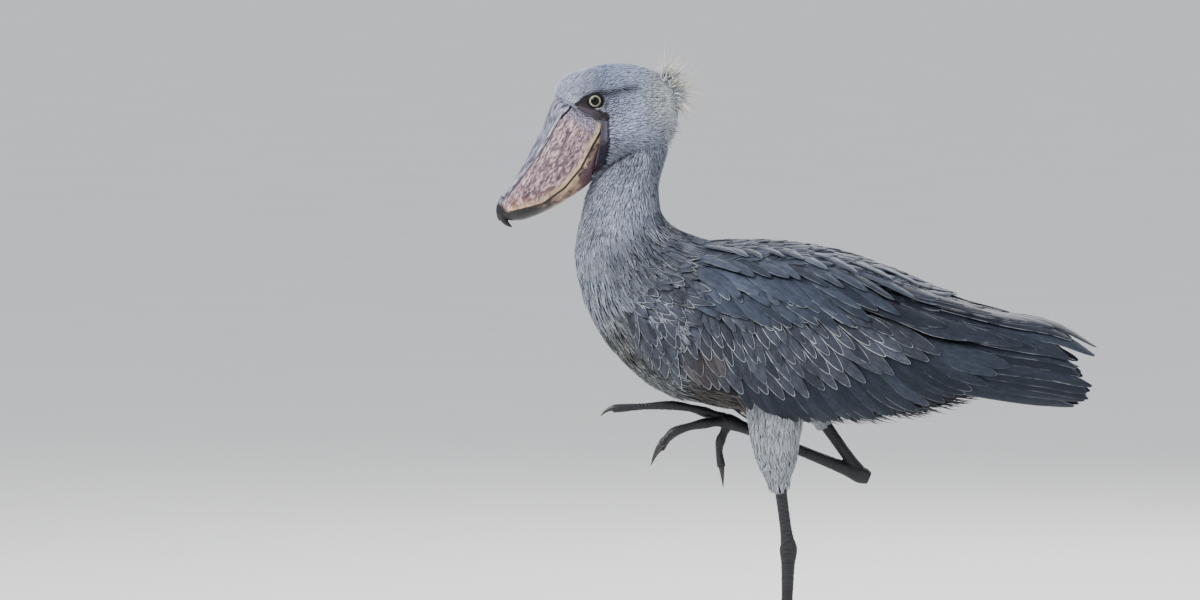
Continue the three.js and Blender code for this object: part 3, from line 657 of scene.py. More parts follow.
class Feathers:
    """Feathers gathered for one piece, each a thin closed vane or blade on a skin."""

    def __init__(self, seed):
        self.random = np.random.default_rng(seed)
        self.points = []
        self.quads = []
        self.triangles = []
        self.maps = {"Vane": [], "Local": [], "Root": []}
        self.tint = []
        self.numbers = {"rim": [], "edge": [], "serial": []}
        self.size = 0
        self.count = 0

    def spine(self, skin, start, end, t, lift, sideways):
        along = mix(start[0][:, None], end[0][:, None], t)
        turn = mix(start[1][:, None], end[1][:, None], t)
        line = skin.at(along, turn, lift)
        out = skin.normal(along, turn)
        ahead = unit(np.gradient(line, axis=1))
        side = unit(np.cross(ahead, out))
        line = line + side * (sideways[:, None] * t * t)[..., None]
        ahead = unit(np.gradient(line, axis=1))
        out = unit(out - ahead * (out * ahead).sum(-1, keepdims=True))
        return line, out, np.cross(ahead, out)

    def lay(self, skin, start, end, **shape):
        """Lays feathers from start to end, which are arrays of along and turn. shape gives half,
        sink, lift, roll, camber, thick, sideways, across, along, profile, tint and edge."""
        count = len(start[0])
        across = shape.get("across", 0)
        along = shape["along"]
        pace = np.linspace(0, 1, along + 1)
        t = np.broadcast_to(1 - (1 - pace) ** shape.get("pace", 1.3), (count, along + 1))

        def each(key, usual):
            return np.broadcast_to(np.asarray(shape.get(key, usual), float), (count,))

        rise = 1 - (1 - t) ** shape.get("rise", 2.2)
        lift = mix(-each("sink", 0.009)[:, None], each("lift", 0.004)[:, None], rise)
        line, out, side = self.spine(skin, start, end, t, lift, each("sideways", 0))
        roll = each("roll", 0)[:, None, None]
        edge_way = side * np.cos(roll) + out * np.sin(roll)
        face_way = out * np.cos(roll) - side * np.sin(roll)
        profile = shape.get("profile", blade_share)
        ends = shape.get("ends", (0.55, 0.25))
        half = each("half", 0.01)[:, None] * profile(t, *ends, each("pointed", 0)[:, None])
        ragged = shape.get("ragged", 0)
        if ragged:
            half = half * (1 + ragged * self.random.uniform(-1, 1, half.shape))
        thick = each("thick", 0.0006)[:, None, None, None]
        camber = each("camber", 0.12)[:, None, None, None]
        columns = max(across, 2) + 1
        place = np.linspace(-1, 1, columns)[None, None, :, None]
        wide = half[..., None, None]
        raised = face_way[:, :, None]
        upper = line[:, :, None] + edge_way[:, :, None] * place * wide
        far = np.linalg.norm(np.diff(line, axis=1), axis=-1)
        far = np.concatenate([np.zeros((count, 1)), np.cumsum(far, 1)], 1)
        if across:
            upper = upper + raised * (thick / 2 - camber * wide * place**2)
            lower = upper - raised * thick
            points = np.stack([upper, lower], 1)
            faces = vane_faces(across, along)
        else:
            points = upper + raised * camber * wide * 2 * (1 - place**2)
            points = points[:, None]
            faces = blade_faces(along)
        layers = points.shape[1]
        shown = points.shape[:-1]
        place = np.broadcast_to(place[:, None, ..., 0], shown)
        half = np.broadcast_to(half[:, None, :, None], shown)
        far = np.broadcast_to(far[:, None, :, None], shown)
        rim = np.minimum((1 - np.abs(place)) * half, far[:, :, -1:] - far)
        root = shape.get("root", start)
        root = np.stack([root[0], (root[1] / FULL_TURN) % 1], -1)
        local = np.stack([place / 2 + 0.5, np.broadcast_to(t[:, None, :, None], shown)], -1)
        size = layers * columns * (along + 1)

        def flat(values):
            return values.reshape(count * size, -1)

        def per_feather(values):
            return np.repeat(values, size, axis=0)

        self.points.append(flat(points))
        first = self.size + np.arange(count)[:, None, None] * size
        self.quads.append((faces[0][None] + first).reshape(-1, 4))
        if len(faces) > 1:
            self.triangles.append((faces[1][None] + first).reshape(-1, 3))
        self.maps["Vane"].append(flat(np.stack([place * half, far], -1)) * TO_CM)
        self.maps["Local"].append(flat(local))
        self.maps["Root"].append(per_feather(root))
        self.tint.append(per_feather(shape["tint"]))
        self.numbers["rim"].append(flat(rim)[:, 0] * TO_MM)
        self.numbers["edge"].append(per_feather(each("edge", 0)))
        self.numbers["serial"].append(per_feather(self.count + np.arange(count)))
        self.size += count * size
        self.count += count

    def piece(self, name, material, slot, *nodes, atlas=False):
        """The finished piece. Its bake map gives each feather a patch at its root's place on the
        skin's unwrap or, as an atlas, a cell of its own."""
        maps = {key: np.concatenate(parts) for key, parts in self.maps.items()}
        numbers = {key: np.concatenate(parts) for key, parts in self.numbers.items()}
        patch = 0.003
        centre = maps["Root"] * (1 - 2 * patch) + patch
        if atlas:
            side = math.ceil(math.sqrt(self.count))
            patch = 0.9 / side
            serial = numbers["serial"]
            centre = np.stack([serial % side + 0.5, serial // side + 0.5], -1) / side
        bake = centre + (maps["Local"] - 0.5) * patch
        faces = [np.concatenate(self.quads)]
        if self.triangles:
            faces.append(np.concatenate(self.triangles))
        piece = mesh_object(
            name,
            np.concatenate(self.points),
            faces,
            maps={"OFBake": bake, "Vane": maps["Vane"]},
            colours={"tint": np.concatenate(self.tint)},
            numbers={"rim": numbers["rim"], "edge": numbers["edge"]},
        )
        return finish_piece(piece, material, slot, *nodes)


def run_on(skin, along, turn, length, heading=0.0):
    """Where a feather ends that lies tailwards, or heading radians towards more turn."""
    ahead, around = skin.stretch(along, turn)
    far = along + skin.flow * length * np.cos(heading) / ahead
    return far, turn + length * np.sin(heading) / around


# Shader nodes


def node(tree, kind, settings=None, **inputs):
    """A shader node. An input that is a socket is linked, and any other is set."""
    made = tree.nodes.new("ShaderNode" + kind)
    for key, value in (settings or {}).items():
        setattr(made, key, value)
    for key, value in inputs.items():
        place = int(key[1:]) if key[0] == "n" and key[1:].isdigit() else key.replace("_", " ")
        value = getattr(value, "socket", value)
        if isinstance(value, bpy.types.NodeSocket):
            tree.links.new(value, made.inputs[place])
        elif value is not None:
            made.inputs[place].default_value = value
    return made


class Amount:
    """A number in a shader: + - and * with other amounts or plain numbers make its nodes."""

    def __init__(self, tree, socket):
        self.tree = tree
        self.socket = socket

    def __add__(self, other):
        return maths(self.tree, "ADD", self, other)

    def __sub__(self, other):
        return maths(self.tree, "SUBTRACT", self, other)

    def __rsub__(self, other):
        return maths(self.tree, "SUBTRACT", other, self)

    def __mul__(self, other):
        return maths(self.tree, "MULTIPLY", self, other)

    def __rmul__(self, other):
        return maths(self.tree, "MULTIPLY", other, self)

    def __abs__(self):
        return maths(self.tree, "ABSOLUTE", self)


def maths(tree, operation, a, b=None):
    return Amount(tree, node(tree, "Math", {"operation": operation}, n0=a, n1=b).outputs[0])


def step(tree, value, low, high):
    """0 to 1 as the value goes from low to high, smoothly."""
    settings = {"interpolation_type": "SMOOTHSTEP"}
    inputs = {"From_Min": low, "From_Max": high}
    return Amount(tree, node(tree, "MapRange", settings, Value=value, **inputs).outputs[0])


def opaque(colour):
    return tuple(float(c) for c in colour) + (1.0,)


def mixed(tree, factor, a, b, mode="MIX"):
    settings = {"data_type": "RGBA", "blend_type": mode}
    sockets = (bpy.types.NodeSocket, Amount)
    a, b = (c if isinstance(c, sockets) else opaque(c) for c in (a, b))
    return node(tree, "Mix", settings, n0=factor, n6=a, n7=b).outputs[2]


def object_place(tree, scale=(1, 1, 1), turn=(0, 0, 0)):
    here = node(tree, "TexCoord").outputs["Object"]
    return node(tree, "Mapping", Vector=here, Scale=scale, Rotation=turn).outputs[0]


def noise(tree, place, scale, detail=3.0, rough=0.55):
    made = node(tree, "TexNoise", Vector=place, Scale=scale, Detail=detail, Roughness=rough)
    return Amount(tree, made.outputs["Fac"])


def attribute(tree, name, output="Fac"):
    made = node(tree, "Attribute", {"attribute_name": name})
    return Amount(tree, made.outputs[output])


def new_group(name, inputs, outputs):
    group = bpy.data.node_groups.new(name, "ShaderNodeTree")
    for way, sockets in (("INPUT", inputs), ("OUTPUT", outputs)):
        for key, kind in sockets.items():
            group.interface.new_socket(key, in_out=way, socket_type="NodeSocket" + kind)
    return group, group.nodes.new("NodeGroupInput"), group.nodes.new("NodeGroupOutput")


PLUME_INPUTS = ("Rim colour", "Rim width", "Shaft", "Barbs", "Blotches", "Root shade")


def plume_group():
    """Barbs, shaft, worn pale rim and blotchy shade of feathers, shared by all plumage."""
    name = "Plume marks"
    if name in bpy.data.node_groups:
        return bpy.data.node_groups[name]
    inputs = {key: "Color" if "colour" in key else "Float" for key in PLUME_INPUTS}
    tree, given, put = new_group(name, inputs, {"Color": "Color", "Height": "Float"})
    rim_colour, rim_width, shaft_dark, combing, blotching, root_dark = given.outputs[:6]
    vane = node(tree, "UVMap", {"uv_map": "Vane"}).outputs[0]
    split = node(tree, "SeparateXYZ", Vector=vane)
    across, along = (Amount(tree, split.outputs[k]) for k in (0, 1))
    off_shaft = abs(across)
    slant = along - off_shaft * 1.1
    combed = node(tree, "CombineXYZ", X=slant * 16.0, Y=off_shaft)
    barbs = noise(tree, combed.outputs[0], 1.6, 4.0, 0.6)
    place = object_place(tree)
    blotch = noise(tree, place, 34.0, 3.0)
    speck = noise(tree, place, 210.0, 2.0)
    combed = node(tree, "CombineXYZ", X=along * 0.22, Y=across, Z=blotch)
    streak = noise(tree, combed.outputs[0], 3.4, 3.0)
    shade = (blotch * 0.35 + speck * 0.25 + streak * 0.9 - 0.75) * blotching
    root = (1.0 - step(tree, along, 0.0, 1.5)) * root_dark
    shaft = 1.0 - step(tree, off_shaft, 0.02, 0.055)
    light = shade + (barbs - 0.5) * combing + 1.0 - (root + shaft * shaft_dark)
    light = maths(tree, "MAXIMUM", light, 0.04)
    grey = node(tree, "CombineColor", n0=light, n1=light, n2=light).outputs[0]
    base = mixed(tree, 1.0, attribute(tree, "tint", "Color"), grey, "MULTIPLY")
    wide = rim_width * (barbs + 0.5)
    share = step(tree, attribute(tree, "rim"), wide, wide * 0.35)
    share = share * attribute(tree, "edge") * (step(tree, blotch, 0.38, 0.62) + 0.12)
    link(tree, mixed(tree, share, base, rim_colour), put, "Color")
    link(tree, barbs * 0.6 + shaft * 0.5, put, "Height")
    return tree


def new_material(name):
    material = bpy.data.materials.new(name)
    material.use_nodes = True
    tree = material.node_tree
    return material, tree, tree.nodes["Principled BSDF"]


def link(tree, value, shader, socket):
    tree.links.new(getattr(value, "socket", value), shader.inputs[socket])


def shared(name):
    """Builds the named material on the first call, and finds it again on the later ones."""

    def with_name(build):
        def find():
            if name not in bpy.data.materials:
                build(*new_material(name)[1:])
            return bpy.data.materials[name]

        return find

    return with_name


def finish(shader, rough, specular):
    shader.inputs["Roughness"].default_value = rough
    shader.inputs["Specular IOR Level"].default_value = specular


def bump(tree, shader, height, strength, distance):
    made = node(tree, "Bump", Height=height, Strength=strength, Distance=distance)
    link(tree, made.outputs[0], shader, "Normal")


# Kinds of plumage: rim colour and width, shaft, barbs, blotches, root shade, roughness, sheen
PLUMAGES = {
    "Soft plumage": (rgb(190, 195, 202), 0.8, 0.2, 0.7, 0.6, 0.55, 0.85, rgb(255, 255, 255)),
    "Face plumage": (rgb(200, 206, 214), 0.7, 0.1, 0.5, 0.6, 0.40, 0.85, rgb(255, 255, 255)),
    "Down": (rgb(206, 208, 212), 0.8, 0.0, 0.4, 0.5, 0.12, 0.85, rgb(255, 255, 255)),
    "Wing feathers": (rgb(200, 205, 210), 1.15, 0.3, 1.1, 2.0, 0.3, 0.52, rgb(215, 228, 255)),
}


def plumage(name):
    if name in bpy.data.materials:
        return bpy.data.materials[name]
    material, tree, shader = new_material(name)
    marks = tree.nodes.new("ShaderNodeGroup")
    marks.node_tree = plume_group()
    rim_colour, *amounts, rough, sheen = PLUMAGES[name]
    for key, value in zip(PLUME_INPUTS, (opaque(rim_colour), *amounts)):
        marks.inputs[key].default_value = value
    link(tree, marks.outputs["Color"], shader, "Base Color")
    finish(shader, rough, 0.25)
    shader.inputs["Specular Tint"].default_value = opaque(sheen)
    bump(tree, shader, marks.outputs["Height"], 0.35, 0.0006)
    return material


@shared("Bare skin")
def skin_material(tree, shader):
    tint = attribute(tree, "tint", "Color")
    grain = noise(tree, object_place(tree), 260.0, 4.0)
    dark = mixed(tree, 1.0, tint, rgb(150, 150, 150), "MULTIPLY")
    link(tree, mixed(tree, grain, dark, tint), shader, "Base Color")
    finish(shader, 0.7, 0.15)
    bump(tree, shader, grain, 0.4, 0.0008)


# Bare skin of the face, down to the chin: side-view ends, half width at each end and colour
BARE_STRIPS = {
    "wedge before the eye": ((-0.3612, 0.9932), (-0.3455, 1.0000), 0.0010, 0.0066, rgb(40, 35, 39)),
    "ring": ((-0.3312, 0.9994), (-0.3308, 0.9994), 0.0112, 0.0112, rgb(16, 14, 17)),
    "under the eye": ((-0.3530, 0.9930), (-0.3350, 0.9870), 0.0036, 0.0026, rgb(46, 40, 46)),
    "strip": ((-0.3575, 0.9882), (-0.3288, 0.9768), 0.0022, 0.0050, rgb(76, 68, 80)),
    "corner": ((-0.3288, 0.9768), (-0.3155, 0.9725), 0.0050, 0.0060, rgb(44, 38, 41)),
    "pale fold": ((-0.3300, 0.9862), (-0.3178, 0.9872), 0.0005, 0.0009, rgb(150, 144, 146)),
    "pale fold behind": ((-0.3178, 0.9872), (-0.3128, 0.9985), 0.0008, 0.0001, rgb(104, 104, 114)),
    "jaw": ((-0.3178, 0.9680), (-0.3178, 0.9300), 0.0030, 0.0034, rgb(80, 77, 88)),
    "jaw edge": ((-0.3130, 0.9640), (-0.3136, 0.9340), 0.0014, 0.0020, rgb(98, 99, 112)),
    "lower jaw": ((-0.3160, 0.9300), (-0.3226, 0.8960), 0.0050, 0.0048, rgb(44, 40, 54)),
    "chin": ((-0.3226, 0.8960), (-0.3340, 0.8760), 0.0046, 0.0014, rgb(52, 36, 48)),
}
BARE_FADE = 0.0016
# How bare the skin may be where feathers still root
BARE_LIMIT = 0.3


def bare_strips(points):
    """For each bare strip, 1 on it and 0 where feathers grow."""
    found = []
    x, z = points[..., 0], points[..., 2]
    ragged = 0.0005 * np.sin(z * 1500 + 2 * np.sin(x * 1100))
    for start, end, near, far, _ in BARE_STRIPS.values():
        away = strip_distance(points, start, end) + ragged
        beyond = strip_distance(points, start, start) / math.dist(start, end)
        width = mix(near, far, np.clip(beyond, 0, 1))
        found.append(1 - smooth(away, width, width + BARE_FADE))
    return np.stack(found)


def bareness(points):
    """1 on the bare skin of the face, and 0 where feathers grow."""
    return bare_strips(points).max(axis=0)


# Thighs: x, y, z, thickness radius and width radius down the leg
THIGHS = {
    "left": [
        (-0.036, -0.056, 0.540, 0.052, 0.034),
        (-0.034, -0.054, 0.490, 0.047, 0.038),
        (-0.034, -0.050, 0.446, 0.040, 0.034),
        (-0.031, -0.046, 0.400, 0.030, 0.026),
        (-0.029, -0.043, 0.376, 0.020, 0.018),
    ],
    "right": [
        (-0.008, 0.052, 0.552, 0.044, 0.034),
        (0.014, 0.054, 0.516, 0.034, 0.030),
        (0.030, 0.055, 0.486, 0.024, 0.022),
        (0.040, 0.055, 0.470, 0.015, 0.015),
    ],
}


class LimbSkin(Skin):
    """A limb's surface, with the same calls as a skin: along runs up the limb."""

    def __init__(self, knots):
        knots = np.array(knots, float)
        past = 2 * knots[-1] - knots[-2]
        past[3:] = knots[-1, 3:] * 0.72
        self.knots = np.vstack([knots, past])[::-1]

    def on_surface(self, along, turn):
        along, turn = np.broadcast_arrays(along, turn)
        values = curve_at(self.knots, along)
        nearby = curve_at(self.knots, np.clip(along + 0.01, 0, 1))
        behind = curve_at(self.knots, np.clip(along - 0.01, 0, 1))
        ahead = unit(nearby[..., :3] - behind[..., :3])
        across = unit(np.array([0, 1.0, 0]) - ahead * ahead[..., 1:2])
        up = unit(np.cross(across, ahead))
        high = (values[..., 3] * np.cos(turn))[..., None]
        wide = (values[..., 4] * np.sin(turn))[..., None]
        return values[..., :3] + SHIFT + up * high - across * wide

    def normal(self, along, turn):
        centre = curve_at(self.knots, along)[..., :3] + SHIFT
        return unit(self.on_surface(along, turn) - centre)


# Thickness of the coat on the body and on the head, and how deep bare skin and the skin under
# the bill lie
BODY_COAT = 0.008
HEAD_COAT = 0.004
BARE_DEPTH = 0.0022
UNDER_BILL = 0.012


def skin_depth(points):
    """How far the skin lies under the coat's surface: least on the bare face."""
    raw = points - SHIFT
    on_head = smooth(raw[..., 2], 0.86, 0.93)
    depth = mix(BODY_COAT, HEAD_COAT, on_head)
    under_bill = UNDER_BILL * smooth(line_distance(points, BILL_BASE), 0.002, 0.007) * on_head
    return -depth * (1 - bareness(points)) - BARE_DEPTH - under_bill


class SHOEBILL_OT_skin(bpy.types.Operator):
    """Loft the body, the head and the thighs, and fuse them into one skin"""

    bl_idname = "shoebill.skin"
    bl_label = "Skin"

    def execute(self, context):
        sizes = context.scene.shoebill_body
        parts = [
            skin_form("skin", BODY, 150, 110, 0.004, skin_depth),
            skin_form("skull", HEAD, 90, 110, 0.002, skin_depth),
        ]
        for name, knots in THIGHS.items():
            parts.append(limb_form("thigh_skin_" + name, knots, 40, 40, -0.006, 0.004))
        skin = join(parts)
        apply_modifier(skin, "REMESH", mode="VOXEL", voxel_size=sizes.skin_voxel)
        apply_modifier(skin, "SMOOTH", factor=0.5, iterations=3)
        points = points_of(skin)
        bare = bareness(points)[:, None]
        # The skin under the coat takes the markings darkened, as painted shade under the feathers
        colour = coat_colour(points) * DARK_TONE_AND_SHADE
        colour = mix(colour, np.array(sizes.bare_skin), bare)
        add_colour(skin.data, "tint", colour)
        skin.data.shade_smooth()
        finish_piece(skin, skin_material(), "pale_plumage", "head", "neck", "torso")
        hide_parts("thigh_left", "thigh_right")
        return {"FINISHED"}


# How many feathers are dark ones, and how dark feathers and the skin under them are: the dark feathers
# are partly painted shade of the gaps between plumes, and the skin is darkened as painted shade under the
# coat
DARK_SHARE = 0.12
DARK_TONE_AND_SHADE = 0.62


def coat_tint(feathers, points, spread, colour=None):
    """The markings' colour at each root, a little lighter or darker from feather to feather, and darker
    still on a share of feathers, partly as painted shade of the gaps between plumes.
    """
    colour = coat_colour(points) if colour is None else colour
    shade = 1 + spread * feathers.random.normal(0, 1, (len(points), 1))
    dark = feathers.random.uniform(0, 1, (len(points), 1)) < DARK_SHARE
    shade = np.where(dark, shade * DARK_TONE_AND_SHADE, shade)
    return np.clip(colour * shade, 0.004, 0.9)


# How far along a feather its visible part lies, which takes the markings' colour
SEEN_SHARE = 0.7


def soft_coat(
    skin, count, reach, turn, seed, sizes, keep=None, heading=None, size_at=None, **shape
):
    """A stretch of soft plumage: sizes are length and half width at its two ends, and reach
    is where these ends lie along the skin."""
    feathers = Feathers(seed)
    places, turns = skin.spread(count, reach, turn, seed * 97)
    roots = skin.on_surface(places, turns)
    if keep is not None:
        kept = keep(roots, turns)
        places, turns, roots = places[kept], turns[kept], roots[kept]
    share = np.clip((places - reach[0]) / (reach[1] - reach[0]), 0, 1)
    uneven = feathers.random.uniform(0.8, 1.2, len(places))
    small = size_at(roots) if size_at else 1
    length = mix(sizes[0][0], sizes[1][0], share) * uneven * small
    half = mix(sizes[0][1], sizes[1][1], share) * feathers.random.uniform(0.8, 1.2, len(places))
    half = half * small**0.5
    way = feathers.random.normal(0, shape.pop("stray", 0.12), len(places))
    if heading is not None:
        way = way + heading(roots, turns)
    end = run_on(skin, places, turns, length, way)
    lift = feathers.random.uniform(*shape.pop("lifts", (0.0005, 0.003)), len(places))
    sideways = feathers.random.normal(0, 0.06, len(places)) * length
    usual = {"along": 4, "profile": lance_share, "ends": (0.6, 0.12), "camber": 0.2}
    shape = usual | shape
    seen = skin.on_surface(mix(places, end[0], SEEN_SHARE), mix(turns, end[1], SEEN_SHARE))
    tint = coat_tint(feathers, seen, shape.pop("spread", 0.16), shape.pop("colour", None))
    place = {"half": half, "lift": lift, "sideways": sideways, "tint": tint}
    feathers.lay(skin, (places, turns), end, **place, **shape)
    return feathers


def off_body(points, margin=0.004, near=0.03):
    """True where a point lies outside the body's skin, or far from it."""
    share = np.linspace(0.55, 1, 40)
    turns = np.linspace(-HALF_TURN, HALF_TURN, 40)
    grid = BODY.on_surface(share[:, None], turns[None, :]).reshape(-1, 3)
    outward = BODY.normal(share[:, None], turns[None, :]).reshape(-1, 3)
    nearest = nearest_in(grid, points)
    off = points - grid[nearest]
    return ((off * outward[nearest]).sum(-1) > -margin) | (np.linalg.norm(off, axis=-1) > near)


class SHOEBILL_OT_head_coat(bpy.types.Operator):
    """Lay the short fine feathers of the head, smallest on the face"""

    bl_idname = "shoebill.head_coat"
    bl_label = "Head feathers"

    def execute(self, context):
        sizes = context.scene.shoebill_head

        def keep(roots, turns):
            low = 1 - smooth((roots - SHIFT)[:, 2], 0.955, 0.970)
            feathered = line_distance(roots, BILL_BASE) < mix(-0.0005, 0.003, low)
            feathered = feathered & (bareness(roots) < BARE_LIMIT)
            return feathered & off_body(roots)

        def heading(roots, turns):
            low = smooth((roots - SHIFT)[:, 2], 0.975, 0.90)
            return np.sign(turns) * 0.7 * low

        def size_at(roots):
            away = np.linalg.norm((roots - SHIFT)[:, [0, 2]] - EYE[[0, 2]], axis=1)
            return mix(0.55, 1.15, smooth(away, 0.014, 0.075))

        for side, word in SIDES:
            feathers = soft_coat(
                HEAD,
                sizes.feathers // 2,
                (0.0, 1.0),
                on_side(side, (0, HALF_TURN)),
                3 + (side == RIGHT),
                ((0.015, 0.0017), (0.0075, 0.0011)),
                keep=keep,
                size_at=size_at,
                heading=heading,
                along=3,
                sink=0.0040,
                lifts=(-0.0004, 0.0011),
                spread=0.09,
                edge=0.15,
            )
            feathers.piece("coat_head_" + word, plumage("Face plumage"), "pale_plumage")
        return {"FINISHED"}


class SHOEBILL_OT_body_coat(bpy.types.Operator):
    """Lay the plumes of the neck, the breast, the belly, the back and under the tail"""

    bl_idname = "shoebill.body_coat"
    bl_label = "Body feathers"

    def execute(self, context):
        sizes = context.scene.shoebill_body
        stretches = {
            "neck_upper": ((0.84, 1.0), (0.019, 0.0021), (0.013, 0.0018), 0.36, 0.35),
            "neck_lower": ((0.70, 0.84), (0.034, 0.0030), (0.019, 0.0022), 0.32, 0.45),
            "breast": ((0.50, 0.70), (0.052, 0.0042), (0.036, 0.0030), 0.30, 0.7),
            "belly": ((0.22, 0.50), (0.040, 0.0046), (0.048, 0.0042), 0.26, 0.3),
            "vent": ((0.0, 0.22), (0.046, 0.0046), (0.042, 0.0046), 0.10, 0.2),
        }
        for number, (part, values) in enumerate(stretches.items()):
            reach, far, near, share, edge = values
            for side, word in SIDES:
                feathers = soft_coat(
                    BODY,
                    int(sizes.plumes * share / 2),
                    reach,
                    on_side(side, (0, HALF_TURN)),
                    11 + 2 * number + (side == RIGHT),
                    (far, near),
                    keep=lambda roots, turns: bareness(roots) < BARE_LIMIT,
                    along=4,
                    sink=0.007,
                    lifts=(-0.001, 0.008 if part == "breast" else 0.004),
                    spread=0.18 if "neck" in part else 0.26,
                    edge=edge,
                )
                feathers.piece(f"coat_{part}_{word}", plumage("Soft plumage"), "slate_plumage")
        return {"FINISHED"}


class SHOEBILL_OT_belly_fluff(bpy.types.Operator):
    """Hang the loose plumes of the belly and the vent below the wings"""

    bl_idname = "shoebill.belly_fluff"
    bl_label = "Belly fluff"

    def execute(self, context):
        sizes = context.scene.shoebill_body
        feathers = soft_coat(
            BODY,
            sizes.fluff_plumes,
            (0.05, 0.40),
            (0.68 * HALF_TURN, 1.32 * HALF_TURN),
            29,
            ((0.050, 0.0034), (0.060, 0.0040)),
            along=5,
            rise=1.2,
            sink=0.006,
            lifts=(0.002, 0.026),
            stray=0.35,
            spread=0.25,
            edge=0.15,
        )
        feathers.piece("belly_fluff", plumage("Soft plumage"), "slate_plumage")
        return {"FINISHED"}


class SHOEBILL_OT_thigh_coat(bpy.types.Operator):
    """Lay the downy feathers of the thighs"""

    bl_idname = "shoebill.thigh_coat"
    bl_label = "Thigh feathers"

    def execute(self, context):
        sizes = context.scene.shoebill_body
        for number, (word, knots) in enumerate(THIGHS.items()):
            skin = LimbSkin(knots)
            feathers = soft_coat(
                skin,
                sizes.thigh_plumes,
                (1 / len(knots), 1.0),
                (-HALF_TURN, HALF_TURN),
                31 + number,
                ((0.024, 0.0024), (0.034, 0.0034)),
                along=4,
                sink=0.005,
                lifts=(-0.0015, 0.0025),
                stray=0.18,
                spread=0.06,
                edge=0.1,
                colour=np.array(rgb(146, 151, 158)),
            )
            feathers.piece("coat_thigh_" + word, plumage("Down"), "thigh_plumage")
        return {"FINISHED"}


# Colours of the vanes
SLATE = rgb(47, 50, 57)
BLUE = rgb(45, 50, 61)
NIGHT = rgb(28, 32, 39)
RUST = rgb(58, 50, 47)
# The brown patch low at the front of the wing, in the side view
BROWN_PATCH = np.array((-0.136, 0.548))
# Rows of wing feathers: count, root and tip places of the first, middle and last feather in
# the side view, half width, the tip's lift, how pale the rim is and how pointed the tip
WING_ROWS = [
    ("primary", 8, [(0.200, 0.548), (0.230, 0.572), (0.260, 0.604)],
     [(0.462, 0.500), (0.482, 0.524), (0.462, 0.566)], 0.0125, 0.0025, 0.3, 0.5, NIGHT),
    ("secondary", 24, [(-0.110, 0.580), (0.030, 0.600), (0.190, 0.622)],
     [(-0.068, 0.494), (0.140, 0.484), (0.350, 0.562)], 0.0130, 0.0035, 0.25, 0.5, NIGHT),
    ("greater covert", 20, [(-0.206, 0.612), (-0.060, 0.610), (0.130, 0.650)],
     [(-0.176, 0.545), (0.012, 0.522), (0.240, 0.592)], 0.0105, 0.0045, 0.8, 0.6, SLATE),
    ("lower median covert", 19, [(-0.212, 0.632), (-0.066, 0.626), (0.110, 0.655)],
     [(-0.184, 0.568), (-0.008, 0.548), (0.198, 0.606)], 0.0095, 0.0048, 0.95, 0.6, SLATE),
    ("median covert", 19, [(-0.220, 0.650), (-0.070, 0.644), (0.090, 0.660)],
     [(-0.194, 0.592), (-0.026, 0.574), (0.162, 0.618)], 0.0088, 0.005, 1.0, 0.6, SLATE),
    ("upper median covert", 18, [(-0.226, 0.668), (-0.095, 0.662), (0.050, 0.672)],
     [(-0.204, 0.612), (-0.056, 0.598), (0.122, 0.634)], 0.0082, 0.0052, 1.0, 0.6, SLATE),
    ("lesser covert", 17, [(-0.234, 0.690), (-0.120, 0.680), (0.010, 0.690)],
     [(-0.214, 0.636), (-0.082, 0.622), (0.082, 0.652)], 0.0080, 0.0055, 0.9, 0.5, SLATE),
    ("upper lesser covert", 14, [(-0.240, 0.712), (-0.140, 0.700), (-0.020, 0.702)],
     [(-0.218, 0.662), (-0.106, 0.648), (0.042, 0.664)], 0.0085, 0.006, 0.8, 0.5, SLATE),
    ("shoulder covert", 13, [(-0.244, 0.730), (-0.155, 0.724), (-0.050, 0.722)],
     [(-0.214, 0.688), (-0.104, 0.674), (0.024, 0.674)], 0.0092, 0.0065, 0.8, 0.5, BLUE),
    ("lower scapular", 12, [(-0.205, 0.715), (-0.120, 0.712), (-0.010, 0.718)],
     [(-0.126, 0.656), (-0.020, 0.636), (0.118, 0.640)], 0.0130, 0.007, 0.35, 0.7, BLUE),
    ("middle scapular", 11, [(-0.200, 0.736), (-0.090, 0.732), (0.020, 0.731)],
     [(-0.110, 0.688), (0.015, 0.664), (0.170, 0.652)], 0.0125, 0.0078, 0.25, 0.7, BLUE),
    ("upper scapular", 10, [(-0.190, 0.750), (-0.070, 0.750), (0.040, 0.745)],
     [(-0.090, 0.716), (0.030, 0.700), (0.196, 0.668)], 0.0115, 0.0084, 0.2, 0.7, BLUE),
    ("mantle", 9, [(-0.180, 0.757), (-0.070, 0.760), (0.050, 0.750)],
     [(-0.100, 0.740), (0.015, 0.730), (0.210, 0.684)], 0.0105, 0.0088, 0.2, 0.7, BLUE),
    ("tertial", 10, [(0.060, 0.690), (0.150, 0.666), (0.240, 0.642)],
     [(0.220, 0.630), (0.350, 0.602), (0.487, 0.572)], 0.0150, 0.006, 0.3, 0.6, NIGHT),
    ("long tertial", 8, [(0.060, 0.728), (0.140, 0.706), (0.215, 0.676)],
     [(0.240, 0.668), (0.370, 0.634), (0.489, 0.590)], 0.0145, 0.0075, 0.3, 0.6, NIGHT),
]
CLOAK.flow = 1
# How deep the wing's pad lies under the cloak, and where it starts and ends along it
PAD_DEPTH = 0.0075
WING_FRONT = 0.15
WING_REAR = 0.80


def bow(points, share):
    """A bowed line through three points, with its middle one half way."""
    first, middle, last = (np.array(p) for p in points)
    pull = 2 * middle - (first + last) / 2
    share = share[:, None]
    return (1 - share) ** 2 * first + 2 * share * (1 - share) * pull + share**2 * last


